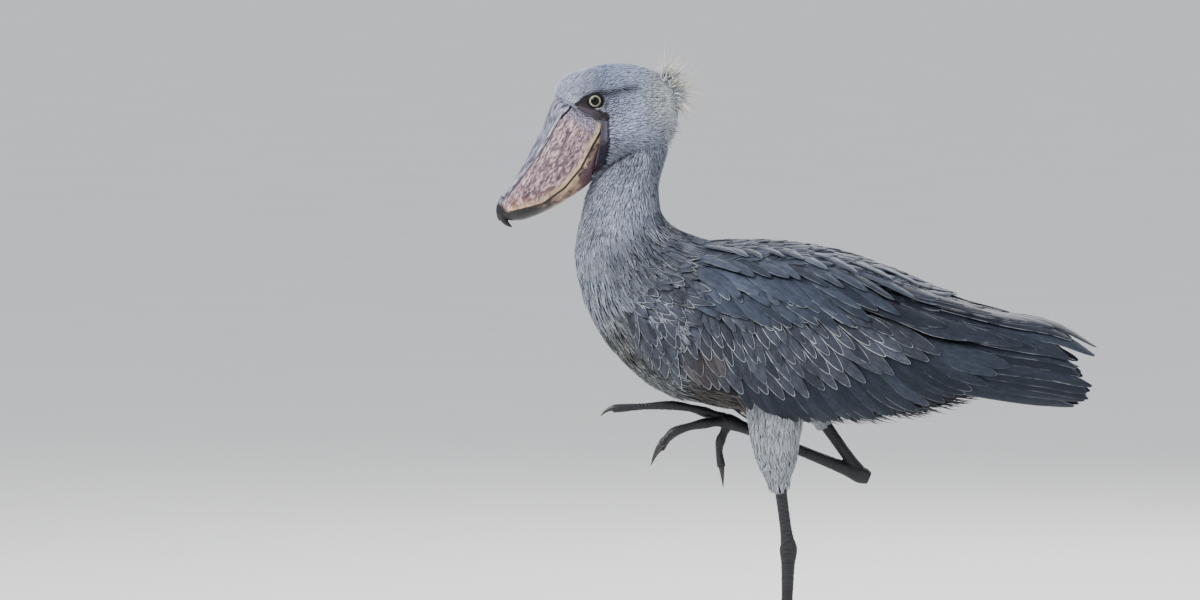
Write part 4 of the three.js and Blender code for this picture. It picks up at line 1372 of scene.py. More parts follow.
def wing_bed(side, word):
    """The packed down under the wing's feathers, a curved pad on the cloak, coloured darker than the
    feathers as painted shade under them.
    """
    rings, around = 70, 40
    along = np.linspace(WING_FRONT, WING_REAR, rings)[:, None]
    turn = np.linspace(0.10, 2.25, around)[None, :] * -side
    along, turn = np.broadcast_arrays(along, turn)
    taper = smooth(along, WING_FRONT, 0.22) * (1 - smooth(along, 0.6, WING_REAR))
    outer = CLOAK.at(along, turn, -PAD_DEPTH - 0.006 * (1 - taper))
    inner = CLOAK.at(along, turn, -PAD_DEPTH - 0.008 - 0.010 * taper)
    section = np.concatenate([outer, inner[:, ::-1]], axis=1)
    ends = [section[0].mean(0), section[-1].mean(0)]
    bed = closed_tube("wing_bed_" + word, section, ends)
    # Painted shade: the pad is darker than the darkest feathers, so the gaps between them read as shadow
    add_colour(bed.data, "tint", np.tile(NIGHT * 0.7, (len(bed.data.vertices), 1)))
    return bed


def wing_feathers(side, word):
    seed = 51 if side == LEFT else 52
    kinds = ("flight", "covert", "scapular")
    groups = {kind: Feathers(seed + 2 * i) for i, kind in enumerate(kinds)}
    for kind, count, roots, tips, half, lift, edge, pointed, colour in WING_ROWS:
        group = "covert" if "covert" in kind else "scapular"
        if kind in ("primary", "secondary", "tertial"):
            group = "flight"
        feathers = groups[group]
        share = np.linspace(0, 1, count)
        wander = feathers.random.uniform(-1, 1, (count, 4))
        root = bow(roots, share) + wander[:, :2] * (0.004, 0.002)
        tip = bow(tips, share) + wander[:, 2:] * (0.006, 0.005)
        start = CLOAK.seen_at(root[:, 0], root[:, 1])
        end = CLOAK.seen_at(tip[:, 0], tip[:, 1])
        start = (start[0], start[1] * -side)
        end = (end[0], end[1] * -side)
        shade = np.exp(0.30 * feathers.random.normal(0, 1, (count, 1)))
        stained = 1 - smooth(np.linalg.norm(tip - BROWN_PATCH, axis=1), 0.014, 0.044)
        stain = mix(colour, RUST, 0.7 * stained[:, None])
        uneven = feathers.random.uniform(0, 1, (4, count))
        feathers.lay(
            CLOAK,
            start,
            end,
            half=half * (0.85 + 0.3 * uneven[0]),
            pointed=pointed * (0.4 + 0.6 * uneven[1]),
            sideways=-side * mix(-0.001, 0.008, uneven[2]),
            sink=0.0095,
            lift=lift,
            roll=-side * mix(0.02, 0.16, uneven[3]),
            camber=0.16,
            thick=0.0006,
            across=6,
            along=14 if group == "flight" else 10,
            pace=1.5,
            ends=(0.55, 0.12),
            ragged=0.02,
            tint=np.clip(stain * shade, 0, 1),
            edge=edge * (0.35 + 0.65 * uneven[3]),
        )
    return groups


# Contour feathers on the cloak: reach from the shoulder, turn, count, length and half width at
# both ends, heading down, how pale the rim is, the colour, and how far the tips stand off
CLOAK_COATS = {
    "back": ((0.06, 0.66), (0.0, 0.60), 460, (0.046, 0.0062), (0.064, 0.0078), 0.0, 0.22, BLUE,
             (0.001, 0.0075)),
    "rump": ((0.58, 0.86), (0.0, 0.75), 150, (0.060, 0.0088), (0.064, 0.0095), 0.0, 0.2, NIGHT,
             (-0.007, -0.001)),
    "shoulder": ((0.02, 0.22), (0.40, 1.30), 100, (0.036, 0.0072), (0.044, 0.0086), 0.5, 0.6,
                 SLATE, (0.005, 0.012)),
    "side_breast": ((0.0, 0.19), (1.20, 2.02), 92, (0.044, 0.0088), (0.050, 0.0105), 0.95, 0.45,
                    SLATE, (0.004, 0.011)),
}
# The pale down that shows at the front of each wing, in the side view
DOWN_PATCH = ((-0.232, 0.655), (-0.196, 0.636))


class SHOEBILL_OT_cloak(bpy.types.Operator):
    """Cover the back between the wings, and the fluffy shoulder before each wing"""

    bl_idname = "shoebill.cloak"
    bl_label = "Back and shoulders"

    def execute(self, context):
        for side, word in SIDES:
            for number, (part, values) in enumerate(CLOAK_COATS.items()):
                reach, turn, count, near, far, down, edge, colour, lifts = values
                feathers = soft_coat(
                    CLOAK,
                    count,
                    reach,
                    on_side(side, turn),
                    81 + 2 * number + (side == RIGHT),
                    (near, far),
                    heading=lambda roots, turns, down=down: np.sign(turns) * down,
                    across=4,
                    along=5,
                    colour=colour,
                    profile=blade_share,
                    ends=(0.6, 0.1),
                    pointed=0.5,
                    sink=0.006,
                    lifts=lifts,
                    spread=0.2,
                    edge=edge,
                    thick=0.0005,
                )
                feathers.piece(f"{part}_{word}", plumage("Wing feathers"), "flight_feathers", atlas=True)
            feathers = soft_coat(
                CLOAK,
                1500,
                (0.05, 0.24),
                on_side(side, (0.9, 2.35)),
                91 + side,
                ((0.022, 0.0024), (0.024, 0.0026)),
                keep=lambda roots, turns: strip_distance(roots, *DOWN_PATCH) < 0.020,
                heading=lambda roots, turns: np.sign(turns) * 0.5,
                along=4,
                sink=0.004,
                lifts=(0.004, 0.009),
                stray=0.35,
                spread=0.26,
                edge=0.4,
            )
            feathers.piece("shoulder_down_" + word, plumage("Soft plumage"), "slate_plumage")
        return {"FINISHED"}


class SHOEBILL_OT_wings(bpy.types.Operator):
    """Lay the folded wings' feathers in their tiers, over a pad of down"""

    bl_idname = "shoebill.wings"
    bl_label = "Wings"

    def execute(self, context):
        for side, word in SIDES:
            bed = wing_bed(side, word)
            finish_piece(bed, skin_material(), "flight_feathers", "wing_" + word)
            for group, feathers in wing_feathers(side, word).items():
                name = f"wing_{group}_{word}"
                feathers.piece(name, plumage("Wing feathers"), "flight_feathers", atlas=True)
        return {"FINISHED"}


TAIL_FEATHERS = 12
# Tail feathers for each unit of the tail's turn
TAIL_PITCH = 6


class TailSkin(Skin):
    """A flat tent over the tail: along runs from the tips back to the rump, turn is the fan."""

    def __init__(self):
        self.facing = 1

    def on_surface(self, along, turn):
        along, turn = np.broadcast_arrays(along, turn)
        place = turn * TAIL_PITCH
        off = np.abs(place)
        out = 1 - along
        x = mix(0.322, 0.476 - off * 0.003, out)
        y = mix(place * 0.0016, place * 0.0056, out)
        z = mix(0.606 - off * 0.0017, 0.560 - off * 0.0055, out)
        z = z + 0.005 * np.sin(math.pi * out) - 0.00025 * place**2
        return np.stack([x, y, z], -1) + SHIFT

    def normal(self, along, turn):
        tilt = np.radians(turn * 30)
        flat = np.zeros_like(tilt)
        return np.stack([flat, np.sin(tilt), np.cos(tilt)], -1)


class SHOEBILL_OT_tail(bpy.types.Operator):
    """Fan the twelve stiff feathers of the tail"""

    bl_idname = "shoebill.tail"
    bl_label = "Tail"

    def execute(self, context):
        feathers = Feathers(61)
        skin = TailSkin()
        middle = (TAIL_FEATHERS - 1) / 2
        turn = (np.arange(TAIL_FEATHERS) - middle) / TAIL_PITCH
        whole = np.ones(TAIL_FEATHERS)
        stack = 0.0012 * (middle - np.abs(np.arange(TAIL_FEATHERS) - middle))
        feathers.lay(
            skin,
            (whole, turn),
            (feathers.random.uniform(0, 0.07, TAIL_FEATHERS), turn),
            half=0.0145,
            sink=0.001,
            lift=stack,
            rise=1,
            camber=0.1,
            thick=0.0007,
            across=6,
            along=12,
            ends=(0.5, 0.2),
            pointed=0.3,
            sideways=feathers.random.uniform(-0.003, 0.003, TAIL_FEATHERS),
            tint=NIGHT * feathers.random.uniform(0.6, 1.4, (TAIL_FEATHERS, 1)),
            edge=0.08,
        )
        feathers.piece("tail_feathers", plumage("Wing feathers"), "flight_feathers", "tail", atlas=True)
        return {"FINISHED"}


# Crest


class WispSkin(Skin):
    """Free wisps: turn is a wisp's number, and along runs from its root to its tip."""

    def __init__(self, root, aim, length, curl):
        self.root, self.aim, self.length, self.curl = root, aim, length, curl

    def on_surface(self, along, turn):
        index = np.rint(turn).astype(int)
        far = (along * self.length[index])[..., None]
        bend = self.curl[index] * (along * along * self.length[index])[..., None]
        return self.root[index] + self.aim[index] * far + bend

    def normal(self, along, turn):
        index = np.rint(turn).astype(int)
        sideways = np.cross(self.aim[index], np.array([0.0, 1.0, 0.2]))
        return unit(sideways)


# Kinds of lock: share of all, length, half width, sideways stray and how dark or pale
CREST_LOCKS = {
    "tuft": (0.78, 0.017, 0.0022, 0.25, (rgb(150, 156, 168), rgb(198, 198, 200))),
    "strand": (0.20, 0.042, 0.0011, 0.24, (rgb(180, 174, 158), rgb(216, 208, 192))),
    "fringe": (0.22, 0.012, 0.0016, 0.30, (rgb(160, 166, 178), rgb(200, 202, 206))),
}


def crest_locks(feathers, count, length, half, stray, shades, low=False):
    draw = feathers.random
    share = draw.uniform(0.55, 1, count) if low else draw.uniform(0, 1, count) ** 1.6
    along = mix(0.24, 0.04, np.sin(np.minimum(share * 1.8, 1) * math.pi / 2))
    spread = np.radians(mix(34, 92, share))
    if low:
        along = mix(0.04, 0.30, draw.uniform(0, 1, count))
    turn = spread * draw.uniform(-1, 1, count)
    if low:
        turn = np.sign(turn) * (HALF_TURN - 0.9 * np.abs(turn) / spread)
    root = HEAD.at(along, turn, -0.002)
    lean = np.radians(mix(76, -58, share) + draw.normal(0, 16, count))
    lying = HEAD.normal(along, turn) * 0.12
    aim = np.stack([np.cos(lean), draw.normal(0, stray, count), np.sin(lean)], -1)
    aim = unit(aim + lying)
    long = length * mix(1.25, 0.55, share) * draw.uniform(0.45, 1.2, count)
    wisps = WispSkin(root, aim, long, draw.normal(0, 0.30, (count, 3)) - (0, 0, 0.2))
    serial = np.arange(count)
    feathers.lay(
        wisps,
        (np.zeros(count), serial),
        (np.ones(count), serial),
        half=half * draw.uniform(0.6, 1.3, count),
        sink=0,
        lift=0,
        profile=lance_share,
        ends=(0.7, 0.1),
        camber=0.3,
        along=6,
        pace=1,
        tint=mix(*shades, draw.uniform(0, 1, (count, 1))),
        edge=0.3,
        root=(along, turn),
    )


class SHOEBILL_OT_crest(bpy.types.Operator):
    """Raise the ragged crest at the nape, lock by lock"""

    bl_idname = "shoebill.crest"
    bl_label = "Crest"

    def execute(self, context):
        count = context.scene.shoebill_head.crest_locks
        feathers = Feathers(71)
        for word, (share, *kind) in CREST_LOCKS.items():
            crest_locks(feathers, int(count * share), *kind, low=word == "fringe")
        feathers.piece("crest", plumage("Down"), "pale_plumage")
        return {"FINISHED"}


# Bill

NOSTRIL = ((-0.3704, 0.9890), (-0.3876, 0.9712))
HOOK = [
    (-0.474, 0, 0.834, 0.012, 0.013),
    (-0.482, 0, 0.819, 0.010, 0.011),
    (-0.483, 0, 0.806, 0.007, 0.009),
    (-0.478, 0, 0.796, 0.0045, 0.006),
    (-0.469, 0, 0.789, 0.0012, 0.0014),
]


def prism(name, outline, half):
    """A block cut by an outline in the side view."""
    outline = np.asarray(outline)
    count = len(outline)
    near = np.stack([outline[:, 0], np.full(count, -half), outline[:, 1]], -1) + SHIFT
    far = near + (0, 2 * half, 0)
    walls = ring_faces(2, count)
    piece = mesh_object(name, np.concatenate([near, far]), [walls])
    shape = bmesh.new()
    shape.from_mesh(piece.data)
    shape.verts.ensure_lookup_table()
    for ring in (range(count), range(count, 2 * count)):
        shape.faces.new([shape.verts[i] for i in ring])
    bmesh.ops.recalc_face_normals(shape, faces=shape.faces)
    shape.to_mesh(piece.data)
    shape.free()
    return piece


def boolean(piece, cutter, operation):
    apply_modifier(piece, "BOOLEAN", operation=operation, object=cutter, solver="EXACT")
    bpy.data.objects.remove(cutter)


def mouth_block(shift):
    line = MOUTH + np.array([shift, -shift])
    start, end = line[0], line[-1]
    corners = [(start[0], 1.1), *line, (-0.56, end[1]), (-0.56, 1.1)]
    return prism("mouth_block", corners, 0.09)


def bill_marks(piece, shape_in=True):
    """Keel, grooves and swollen edges, then the numbers that the horn's colours follow."""
    points = points_of(piece)
    cells = 160
    along = np.linspace(0, 1, cells)
    turn = np.linspace(-HALF_TURN, HALF_TURN, cells, endpoint=False)
    grid = BILL.on_surface(along[:, None], turn[None, :]).reshape(-1, 3)
    nearest = nearest_in(grid, points)
    along, turn = along[nearest // cells], turn[nearest % cells]
    mouth = line_distance(points, MOUTH)
    from_groove = -line_distance(points, GROOVE)
    normals = points_of(piece, "normal")
    if shape_in:
        reach = 1 - smooth(along, 0.78, 0.88)
        groove = np.exp(-((from_groove / 0.0016) ** 2)) * reach
        slit = 1 - smooth(strip_distance(points, *NOSTRIL), 0.0006, 0.0022)
        keel = np.exp(-((turn / 0.22) ** 2)) * smooth(along, 0.25, 0.5)
        lip = np.exp(-(((mouth - 0.003) / 0.0035) ** 2)) * smooth(along, 0.2, 0.35)
        lip = np.where(mouth > -0.0005, lip, 0)
        rough = np.sin(along * 90 + np.sin(turn * 5) * 2) * 0.00015
        push = 0.0022 * keel + 0.0011 * lip - 0.0019 * groove - 0.0022 * slit + rough
        move_points(piece, points + normals * push[:, None])
    numbers = {
        "mouth": mouth,
        "groove": from_groove,
        "base": line_distance(points, BILL_BASE[:UPPER_BASE]),
        "nostril": strip_distance(points, *NOSTRIL),
    }
    add_number(piece.data, "along", along)
    for key, values in numbers.items():
        add_number(piece.data, key, values * TO_MM)


def bill_material(name, lower):
    """Horn: short mauve and pink dashes along the bill, with a cream edge by the mouth, painted shade in
    the mouth line, the grooves and the nostrils, and a painted highlight beside each groove.
    """
    material, tree, shader = new_material(name)
    along, mouth, groove = (attribute(tree, key) for key in ("along", "mouth", "groove"))
    turned = object_place(tree, turn=(0, math.radians(56), 0))
    lengthwise = node(tree, "Mapping", Vector=turned, Scale=(0.34, 1, 1)).outputs[0]
    dashes = noise(tree, lengthwise, 330.0, 3.0, 0.5)
    streaks = noise(tree, lengthwise, 120.0, 5.0, 0.6)
    patches = noise(tree, turned, 42.0, 4.0)
    fine = noise(tree, turned, 600.0, 3.0)
    mauve, pink = rgb(92, 78, 90), rgb(184, 160, 160)
    cream, umber = rgb(188, 164, 128), rgb(112, 70, 52)
    horn_black_and_shade = rgb(12, 11, 13)
    colour = mixed(tree, step(tree, dashes, 0.40, 0.60), mauve, pink)
    shade = mixed(tree, step(tree, streaks, 0.35, 0.65), rgb(150, 138, 150), rgb(255, 250, 246))
    colour = mixed(tree, 1.0, colour, shade, "MULTIPLY")
    if lower:
        blotch = mixed(tree, step(tree, streaks, 0.40, 0.60), rgb(56, 36, 42), rgb(140, 112, 98))
        colour = mixed(tree, step(tree, patches, 0.40, 0.56), cream, blotch)
        rear = step(tree, along, 0.62, 0.40) * step(tree, mouth + patches * 10.0, -1.0, -8.0)
        colour = mixed(tree, rear, colour, mixed(tree, dashes, rgb(40, 34, 48), rgb(96, 66, 74)))
        colour = mixed(tree, step(tree, along, 0.60, 0.78), colour, horn_black_and_shade)
    else:
        base = attribute(tree, "base") + patches * 40.0
        speckles = noise(tree, turned, 420.0, 3.0, 0.5)
        grey = mixed(tree, step(tree, speckles, 0.40, 0.60), rgb(66, 60, 74), rgb(134, 130, 142))
        colour = mixed(tree, step(tree, base, 56.0, 34.0), colour, grey)
        edge = mouth + streaks * 8.0
        band = step(tree, edge, 15.0, 8.0) * 0.85 * step(tree, dashes, 0.25, 0.50)
        colour = mixed(tree, band, colour, cream)
        ruddy = step(tree, along, 0.50, 0.70) * step(tree, edge, 26.0, 14.0)
        ruddy = ruddy * step(tree, streaks, 0.62, 0.42)
        colour = mixed(tree, ruddy * 0.6, colour, umber)
        ridge = mixed(tree, step(tree, streaks, 0.38, 0.58), rgb(42, 42, 56), rgb(120, 122, 138))
        colour = mixed(tree, step(tree, groove, 1.5, -2.0), colour, ridge)
        # Painted shade in the groove beside the culmen
        line = step(tree, abs(groove), 1.3, 0.5)
        colour = mixed(tree, line * 0.85, colour, horn_black_and_shade)
        # Painted highlight along the groove's edge
        pale = step(tree, abs(groove + 3.2), 1.1, 0.4) * step(tree, streaks, 0.40, 0.60)
        colour = mixed(tree, pale * 0.55, colour, rgb(196, 192, 204))
        dark = step(tree, abs(groove + 5.6), 1.2, 0.5) * step(tree, along, 0.28, 0.36)
        colour = mixed(tree, dark * 0.6, colour, horn_black_and_shade)
        # Painted shade in the nostril slit
        colour = mixed(tree, step(tree, attribute(tree, "nostril"), 2.2, 1.0), colour, horn_black_and_shade)
        colour = mixed(tree, step(tree, along, 0.92, 0.985), colour, horn_black_and_shade)
    # Painted shade in the gap between the two halves of the bill
    colour = mixed(tree, step(tree, abs(mouth), 2.6, 1.1), colour, horn_black_and_shade)
    colour = mixed(tree, step(tree, fine, 0.52, 0.72) * 0.4, colour, mauve)
    link(tree, colour, shader, "Base Color")
    rough = node(tree, "MapRange", Value=streaks, To_Min=0.36, To_Max=0.62).outputs[0]
    finish(shader, 0.5, 0.35)
    link(tree, rough, shader, "Roughness")
    bump(tree, shader, dashes * 0.7 + fine * 0.3, 0.6, 0.0010)
    return material


class SHOEBILL_OT_bill(bpy.types.Operator):
    """Model the two halves of the bill, with keel, grooves, nostrils and hook"""

    bl_idname = "shoebill.bill"
    bl_label = "Bill"

    def execute(self, context):
        upper = skin_form("bill_upper_horn", BILL, 130, 120, 0.014)
        boolean(upper, mouth_block(0.0), "INTERSECT")
        boolean(upper, limb_form("hook", HOOK, 24, 32), "UNION")
        lower = skin_form("bill_lower_horn", LOWER_BILL, 130, 120, 0.014)
        boolean(lower, mouth_block(0.0004), "DIFFERENCE")
        boolean(lower, limb_form("hook_room", HOOK, 16, 24, 0.0005), "DIFFERENCE")
        for piece, low in ((upper, False), (lower, True)):
            bill_marks(piece, not low)
            activate(piece)
            bpy.ops.object.shade_smooth_by_angle(angle=math.radians(40))
            word = "bill_lower" if low else "bill_upper"
            name = "Lower bill horn" if low else "Upper bill horn"
            finish_piece(piece, bill_material(name, low), "bill_horn", word)
        return {"FINISHED"}


# Eyes


def eye_material(side):
    material, tree, shader = new_material(f"Eye {'left' if side == LEFT else 'right'}")
    here = node(tree, "TexCoord").outputs["Object"]

    def vector(operation, a, b=None, output="Vector"):
        settings = {"operation": operation}
        return node(tree, "VectorMath", settings, n0=a, n1=b).outputs[output]

    off = vector("SUBTRACT", here, tuple(EYE * (1, side, 1) + SHIFT))
    away = vector("LENGTH", vector("MULTIPLY", off, (TO_MM, 0, TO_MM)), output="Value")
    rays = noise(tree, off, 700.0, 3.0)
    iris = mixed(tree, step(tree, rays, 0.35, 0.65), rgb(92, 96, 76), rgb(156, 160, 138))
    iris = mixed(tree, step(tree, away, 8.4, 10.2), iris, rgb(58, 62, 42))
    colour = mixed(tree, 1.0 - step(tree, away, 6.6, 7.5), iris, rgb(2, 2, 2))
    colour = mixed(tree, step(tree, away, 10.5, 11.2), colour, rgb(16, 14, 16))
    link(tree, colour, shader, "Base Color")
    finish(shader, 0.3, 0.08)
    shader.inputs["Coat Weight"].default_value = 0.16
    shader.inputs["Coat Roughness"].default_value = 0.03
    return material


@shared("Lid skin")
def lid_material(tree, shader):
    grain = noise(tree, object_place(tree), 600.0, 3.0)
    link(tree, mixed(tree, grain, rgb(8, 7, 9), rgb(30, 27, 31)), shader, "Base Color")
    finish(shader, 0.6, 0.12)
    bump(tree, shader, grain, 0.5, 0.0006)


# Width of the bare skin's folds, before the eye and round it, and their height
FOLD_PITCH = 0.0021
RING_PITCH = 0.0017
FOLD_HEIGHT = 0.00035


def face_skin(side, word):
    """The bare skin before and under the eye, in fine folds, as a thin sheet on the head."""
    along = np.linspace(0.50, 1.0, 260)[:, None]
    turn = np.linspace(0.75, 2.5, 320)[None, :] * -side
    along, turn = np.broadcast_arrays(along, turn)
    places = HEAD.on_surface(along, turn)
    strips = bare_strips(places)
    bare = strips.max(axis=0)
    colours = np.array([strip[-1] for strip in BARE_STRIPS.values()])
    weights = strips**2 + 1e-9
    colour = np.tensordot(weights, colours, (0, 0)) / weights.sum(0)[..., None]
    across = strip_distance(places, *BARE_STRIPS["strip"][:2])
    raw = (places - SHIFT)[..., [0, 2]]
    from_eye = np.linalg.norm(raw - EYE[[0, 2]], axis=-1)
    near_eye = 1 - smooth(from_eye, 0.016, 0.020)
    wave = np.sin(raw[..., 0] * 900 + np.sin(raw[..., 1] * 700) * 2) * 0.6
    folds = np.cos(across / FOLD_PITCH * FULL_TURN + wave)
    rings = np.cos(from_eye / RING_PITCH * FULL_TURN + wave)
    folds = mix(folds, rings, near_eye)
    lift = 0.0014 * smooth(bare, 0.1, 0.8) - 0.0006 + FOLD_HEIGHT * folds * bare
    points = HEAD.at(along, turn, lift)
    rows, columns = bare.shape
    index = np.arange(rows * columns).reshape(rows, columns)
    quads = np.stack([index[:-1, :-1], index[:-1, 1:], index[1:, 1:], index[1:, :-1]], -1)
    corners = [bare[:-1, :-1], bare[:-1, 1:], bare[1:, 1:], bare[1:, :-1]]
    kept = quads[np.min(corners, axis=0) > 0.04]
    used, corners = np.unique(kept, return_inverse=True)
    # The colour follows the folds: painted shade in each trough and painted light on each crest. High on
    # the face it also darkens towards the edges of the bare skin.
    high = smooth(raw[..., 1], 0.966, 0.974)
    outline = mix(1, mix(0.40, 1, smooth(bare, 0.30, 0.85)), high)
    shade = ((0.85 + 0.30 * folds) * outline)[..., None] * colour
    sheet = mesh_object(
        "face_skin_" + word,
        points.reshape(-1, 3)[used],
        [corners.reshape(-1, 4)],
        colours={"tint": shade.reshape(-1, 3)[used]},
    )
    outward = HEAD.normal(0.75, 1.4 * -side)
    if np.dot(np.array(sheet.data.polygons[0].normal), outward) < 0:
        sheet.data.flip_normals()
    apply_modifier(sheet, "SOLIDIFY", thickness=0.0016, offset=-1)
    return sheet


def lid_form(side, word):
    """A fold of skin round the eye, thicker above, where the brow weighs on it."""
    around, section = 72, 14
    turn = np.linspace(0, FULL_TURN, around, endpoint=False)[:, None]
    ring = np.linspace(0, FULL_TURN, section, endpoint=False)[None, :]
    upper = smooth(np.sin(turn), -0.2, 0.9)
    opening = 0.0103 - 0.0008 * upper
    thick = mix(0.0017, 0.0023, upper)
    radius = opening + thick * (1 - np.cos(ring)) * 0.9
    ball = np.sqrt(np.maximum((EYE_RADIUS + 0.0002) ** 2 - np.minimum(radius, 0.0125) ** 2, 0))
    out = ball + thick * np.sin(ring) * 0.8
    x = EYE[0] + radius * np.cos(turn) * 1.06
    z = EYE[2] + radius * np.sin(turn)
    y = side * (EYE[1] + out)
    points = np.stack([x, y, z], -1).reshape(-1, 3) + SHIFT
    rings = ring_faces(around, section)
    last = (around - 1) * section
    here = np.arange(section)
    beside = (here + 1) % section
    closing = np.stack([last + here, last + beside, beside, here], -1)
    lid = mesh_object("lid_" + word, points, [np.concatenate([rings, closing])])
    face_outwards(lid)
    return lid


class SHOEBILL_OT_eyes(bpy.types.Operator):
    """Set the eyes, under a clear coat, and fold the lids round them"""

    bl_idname = "shoebill.eyes"
    bl_label = "Eyes and lids"

    def execute(self, context):
        for side, word in SIDES:
            centre = EYE * (1, side, 1) + SHIFT
            deselect()
            bpy.ops.mesh.primitive_uv_sphere_add(
                segments=48, ring_count=32, radius=EYE_RADIUS - 0.0002, location=tuple(centre)
            )
            eye = context.active_object
            eye.name = "eyeball_" + word
            eye.rotation_euler = (math.pi / 2, 0, 0)
            bpy.ops.object.transform_apply(location=True, rotation=True, scale=True)
            eye.data.shade_smooth()
            finish_piece(eye, eye_material(side), "eye", "eye_" + word)
            lid = lid_form(side, word)
            finish_piece(lid, lid_material(), "leg_skin")
            finish_piece(face_skin(side, word), skin_material(), "leg_skin")
        return {"FINISHED"}


# Legs

LEGS = {
    "left": {"side": LEFT, "ankle": (-0.012, -0.024, 0.258), "heel": (-0.018, -0.008, 0.018)},
    "right": {"side": RIGHT, "ankle": (0.109, 0.052, 0.375), "heel": (-0.117, 0.042, 0.467)},
}
SHANK_R = 0.0095
ANKLE_R = 0.0145
TARSUS_R = 0.009
TOE_R = 0.0085
TOE_TIP_R = 0.006
SOLE_FLAT = 0.0007
CLAW = 0.022
# Size of the leg's scales and of the toes' plates, and how high they stand
SCALE = 0.0042
PLATE = 0.0058
SCALE_HEIGHT = 0.0007


def flat_toe(heading, length):
    x, y, _ = LEGS["left"]["heel"]
    turn = math.radians(heading)
    low = TOE_R - SOLE_FLAT
    steps = ((0.002, 0.012), (0.016, low), (length / 2, low), (length, TOE_TIP_R - SOLE_FLAT))
    return [(x - far * math.cos(turn), y + far * math.sin(turn), z) for far, z in steps]


TOES = {
    "left": {
        "middle": flat_toe(0, 0.178),
        "inner": flat_toe(30, 0.138),
        "outer": flat_toe(-31, 0.148),
        "hind": flat_toe(176, 0.082),
    },
    "right": {
        "middle": [
            (-0.119, 0.041, 0.470), (-0.150, 0.040, 0.480), (-0.204, 0.038, 0.491), (-0.300, 0.036, 0.486)
        ],
        "inner": [
            (-0.118, 0.038, 0.464), (-0.150, 0.026, 0.462), (-0.200, 0.018, 0.449), (-0.222, 0.015, 0.428)
        ],
        "outer": [
            (-0.118, 0.048, 0.464), (-0.148, 0.062, 0.460), (-0.196, 0.073, 0.446), (-0.224, 0.077, 0.416)
        ],
        "hind": [
            (-0.112, 0.042, 0.460), (-0.120, 0.042, 0.440), (-0.126, 0.042, 0.422), (-0.122, 0.042, 0.388)
        ],
    },
}
# How far a claw's tip drops below the toe's line
CLAW_DIP = {"left": 0.0045, "right": 0.011}


def leg_limbs(word):
    """Knots of the shank, the tarsus and the toes of one leg."""
    leg = LEGS[word]
    ankle = np.array(leg["ankle"])
    heel = np.array(leg["heel"])
    start = np.array(THIGHS[word][-2][:3])
    down = unit(heel - ankle)

    def knot(place, thick, wide=None):
        return (*place, thick, thick if wide is None else wide)

    swelling = ((0.0, 0.002), (0.4, 0), (0.75, 0), (0.96, 0.0025))
    shank = [knot(mix(start, ankle, share), SHANK_R + more) for share, more in swelling]
    tarsus = [
        knot(ankle - down * ANKLE_R, ANKLE_R * 0.72),
        knot(ankle + down * 0.002, ANKLE_R, ANKLE_R * 0.9),
        knot(mix(ankle, heel, 0.13), TARSUS_R + 0.002),
        knot(mix(ankle, heel, 0.4), TARSUS_R, TARSUS_R * 0.85),
        knot(mix(ankle, heel, 0.8), TARSUS_R, TARSUS_R * 0.95),
        knot(mix(ankle, heel, 0.95), TARSUS_R + 0.0035),
        knot(heel + down * 0.006, TARSUS_R + 0.002, TARSUS_R + 0.004),
    ]
    limbs = [shank, tarsus]
    for toe, route in TOES[word].items():
        pads = 2 if toe == "hind" else 3
        knots = []
        for share in np.linspace(0, 1, pads * 2 + 1):
            radius = mix(TOE_R, TOE_TIP_R, share) + 0.0009 * math.cos(FULL_TURN * pads * share)
            place = curve_at(np.array(route), share)
            if place[2] < TOE_R + 0.001:
                place[2] = radius - SOLE_FLAT
            knots.append(knot(place, radius))
        ahead = unit(np.array(route[-1]) - curve_at(np.array(route), 0.97))
        knots[-1] = knot(place - ahead * 0.0035, radius)
        knots.append(knot(place + ahead * 0.0012, radius * 0.5))
        limbs.append(knots)
    return limbs


def hexagons(u, v):
    """1 in the middle of six-sided cells of unit width, falling to 0 at their edges."""
    tall = math.sqrt(3)
    best = np.full(u.shape, 9.0)
    second = np.full(u.shape, 9.0)
    for shift_u, shift_v in ((0, 0), (0.5, tall / 2)):
        for beside in (-1, 0, 1):
            near_u = np.round(u - shift_u) + shift_u + beside
            near_v = np.round((v - shift_v) / tall) * tall + shift_v
            away = np.hypot(u - near_u, v - near_v)
            second = np.where(away < best, best, np.minimum(second, away))
            best = np.minimum(best, away)
    return np.clip((second - best) / 0.8, 0, 1)


def scale_leg(piece, limbs):
    """Raises the scales: six-sided ones all round, and broad plates along each toe's top."""
    points = points_of(piece)
    normals = points_of(piece, "normal")
    steps = 120
    curves = [curve_at(np.array(knots), np.linspace(0, 1, steps)) for knots in limbs]
    pace = [np.linalg.norm(np.diff(c[:, :3], axis=0), axis=1) for c in curves]
    far = np.concatenate([np.concatenate([[0], np.cumsum(p)]) for p in pace])
    curve = np.concatenate(curves)
    line, radius = curve[:, :3] + SHIFT, curve[:, 3]
    number = np.repeat(np.arange(len(limbs)), steps)
    nearest = nearest_in(line, points)
    off = points - line[nearest]
    turn = np.arctan2(off[:, 1], off[:, 2])
    arc = turn * radius[nearest]
    scales = smooth(hexagons(arc / SCALE, far[nearest] / SCALE), 0.05, 0.5)
    toe = number[nearest] >= 2
    edge = np.abs((far[nearest] / PLATE) % 1 - 0.5) * 2
    plates = 1 - smooth(edge, 0.72, 1.0)
    on_top = toe * smooth(off[:, 2] / np.maximum(radius[nearest], 1e-4), 0.1, 0.5)
    relief = mix(scales, plates, on_top)
    sole = smooth(points[:, 2], 0.0002, 0.002)
    move_points(piece, points + normals * ((relief - 0.6) * SCALE_HEIGHT * sole)[:, None])
    add_number(piece.data, "relief", relief)


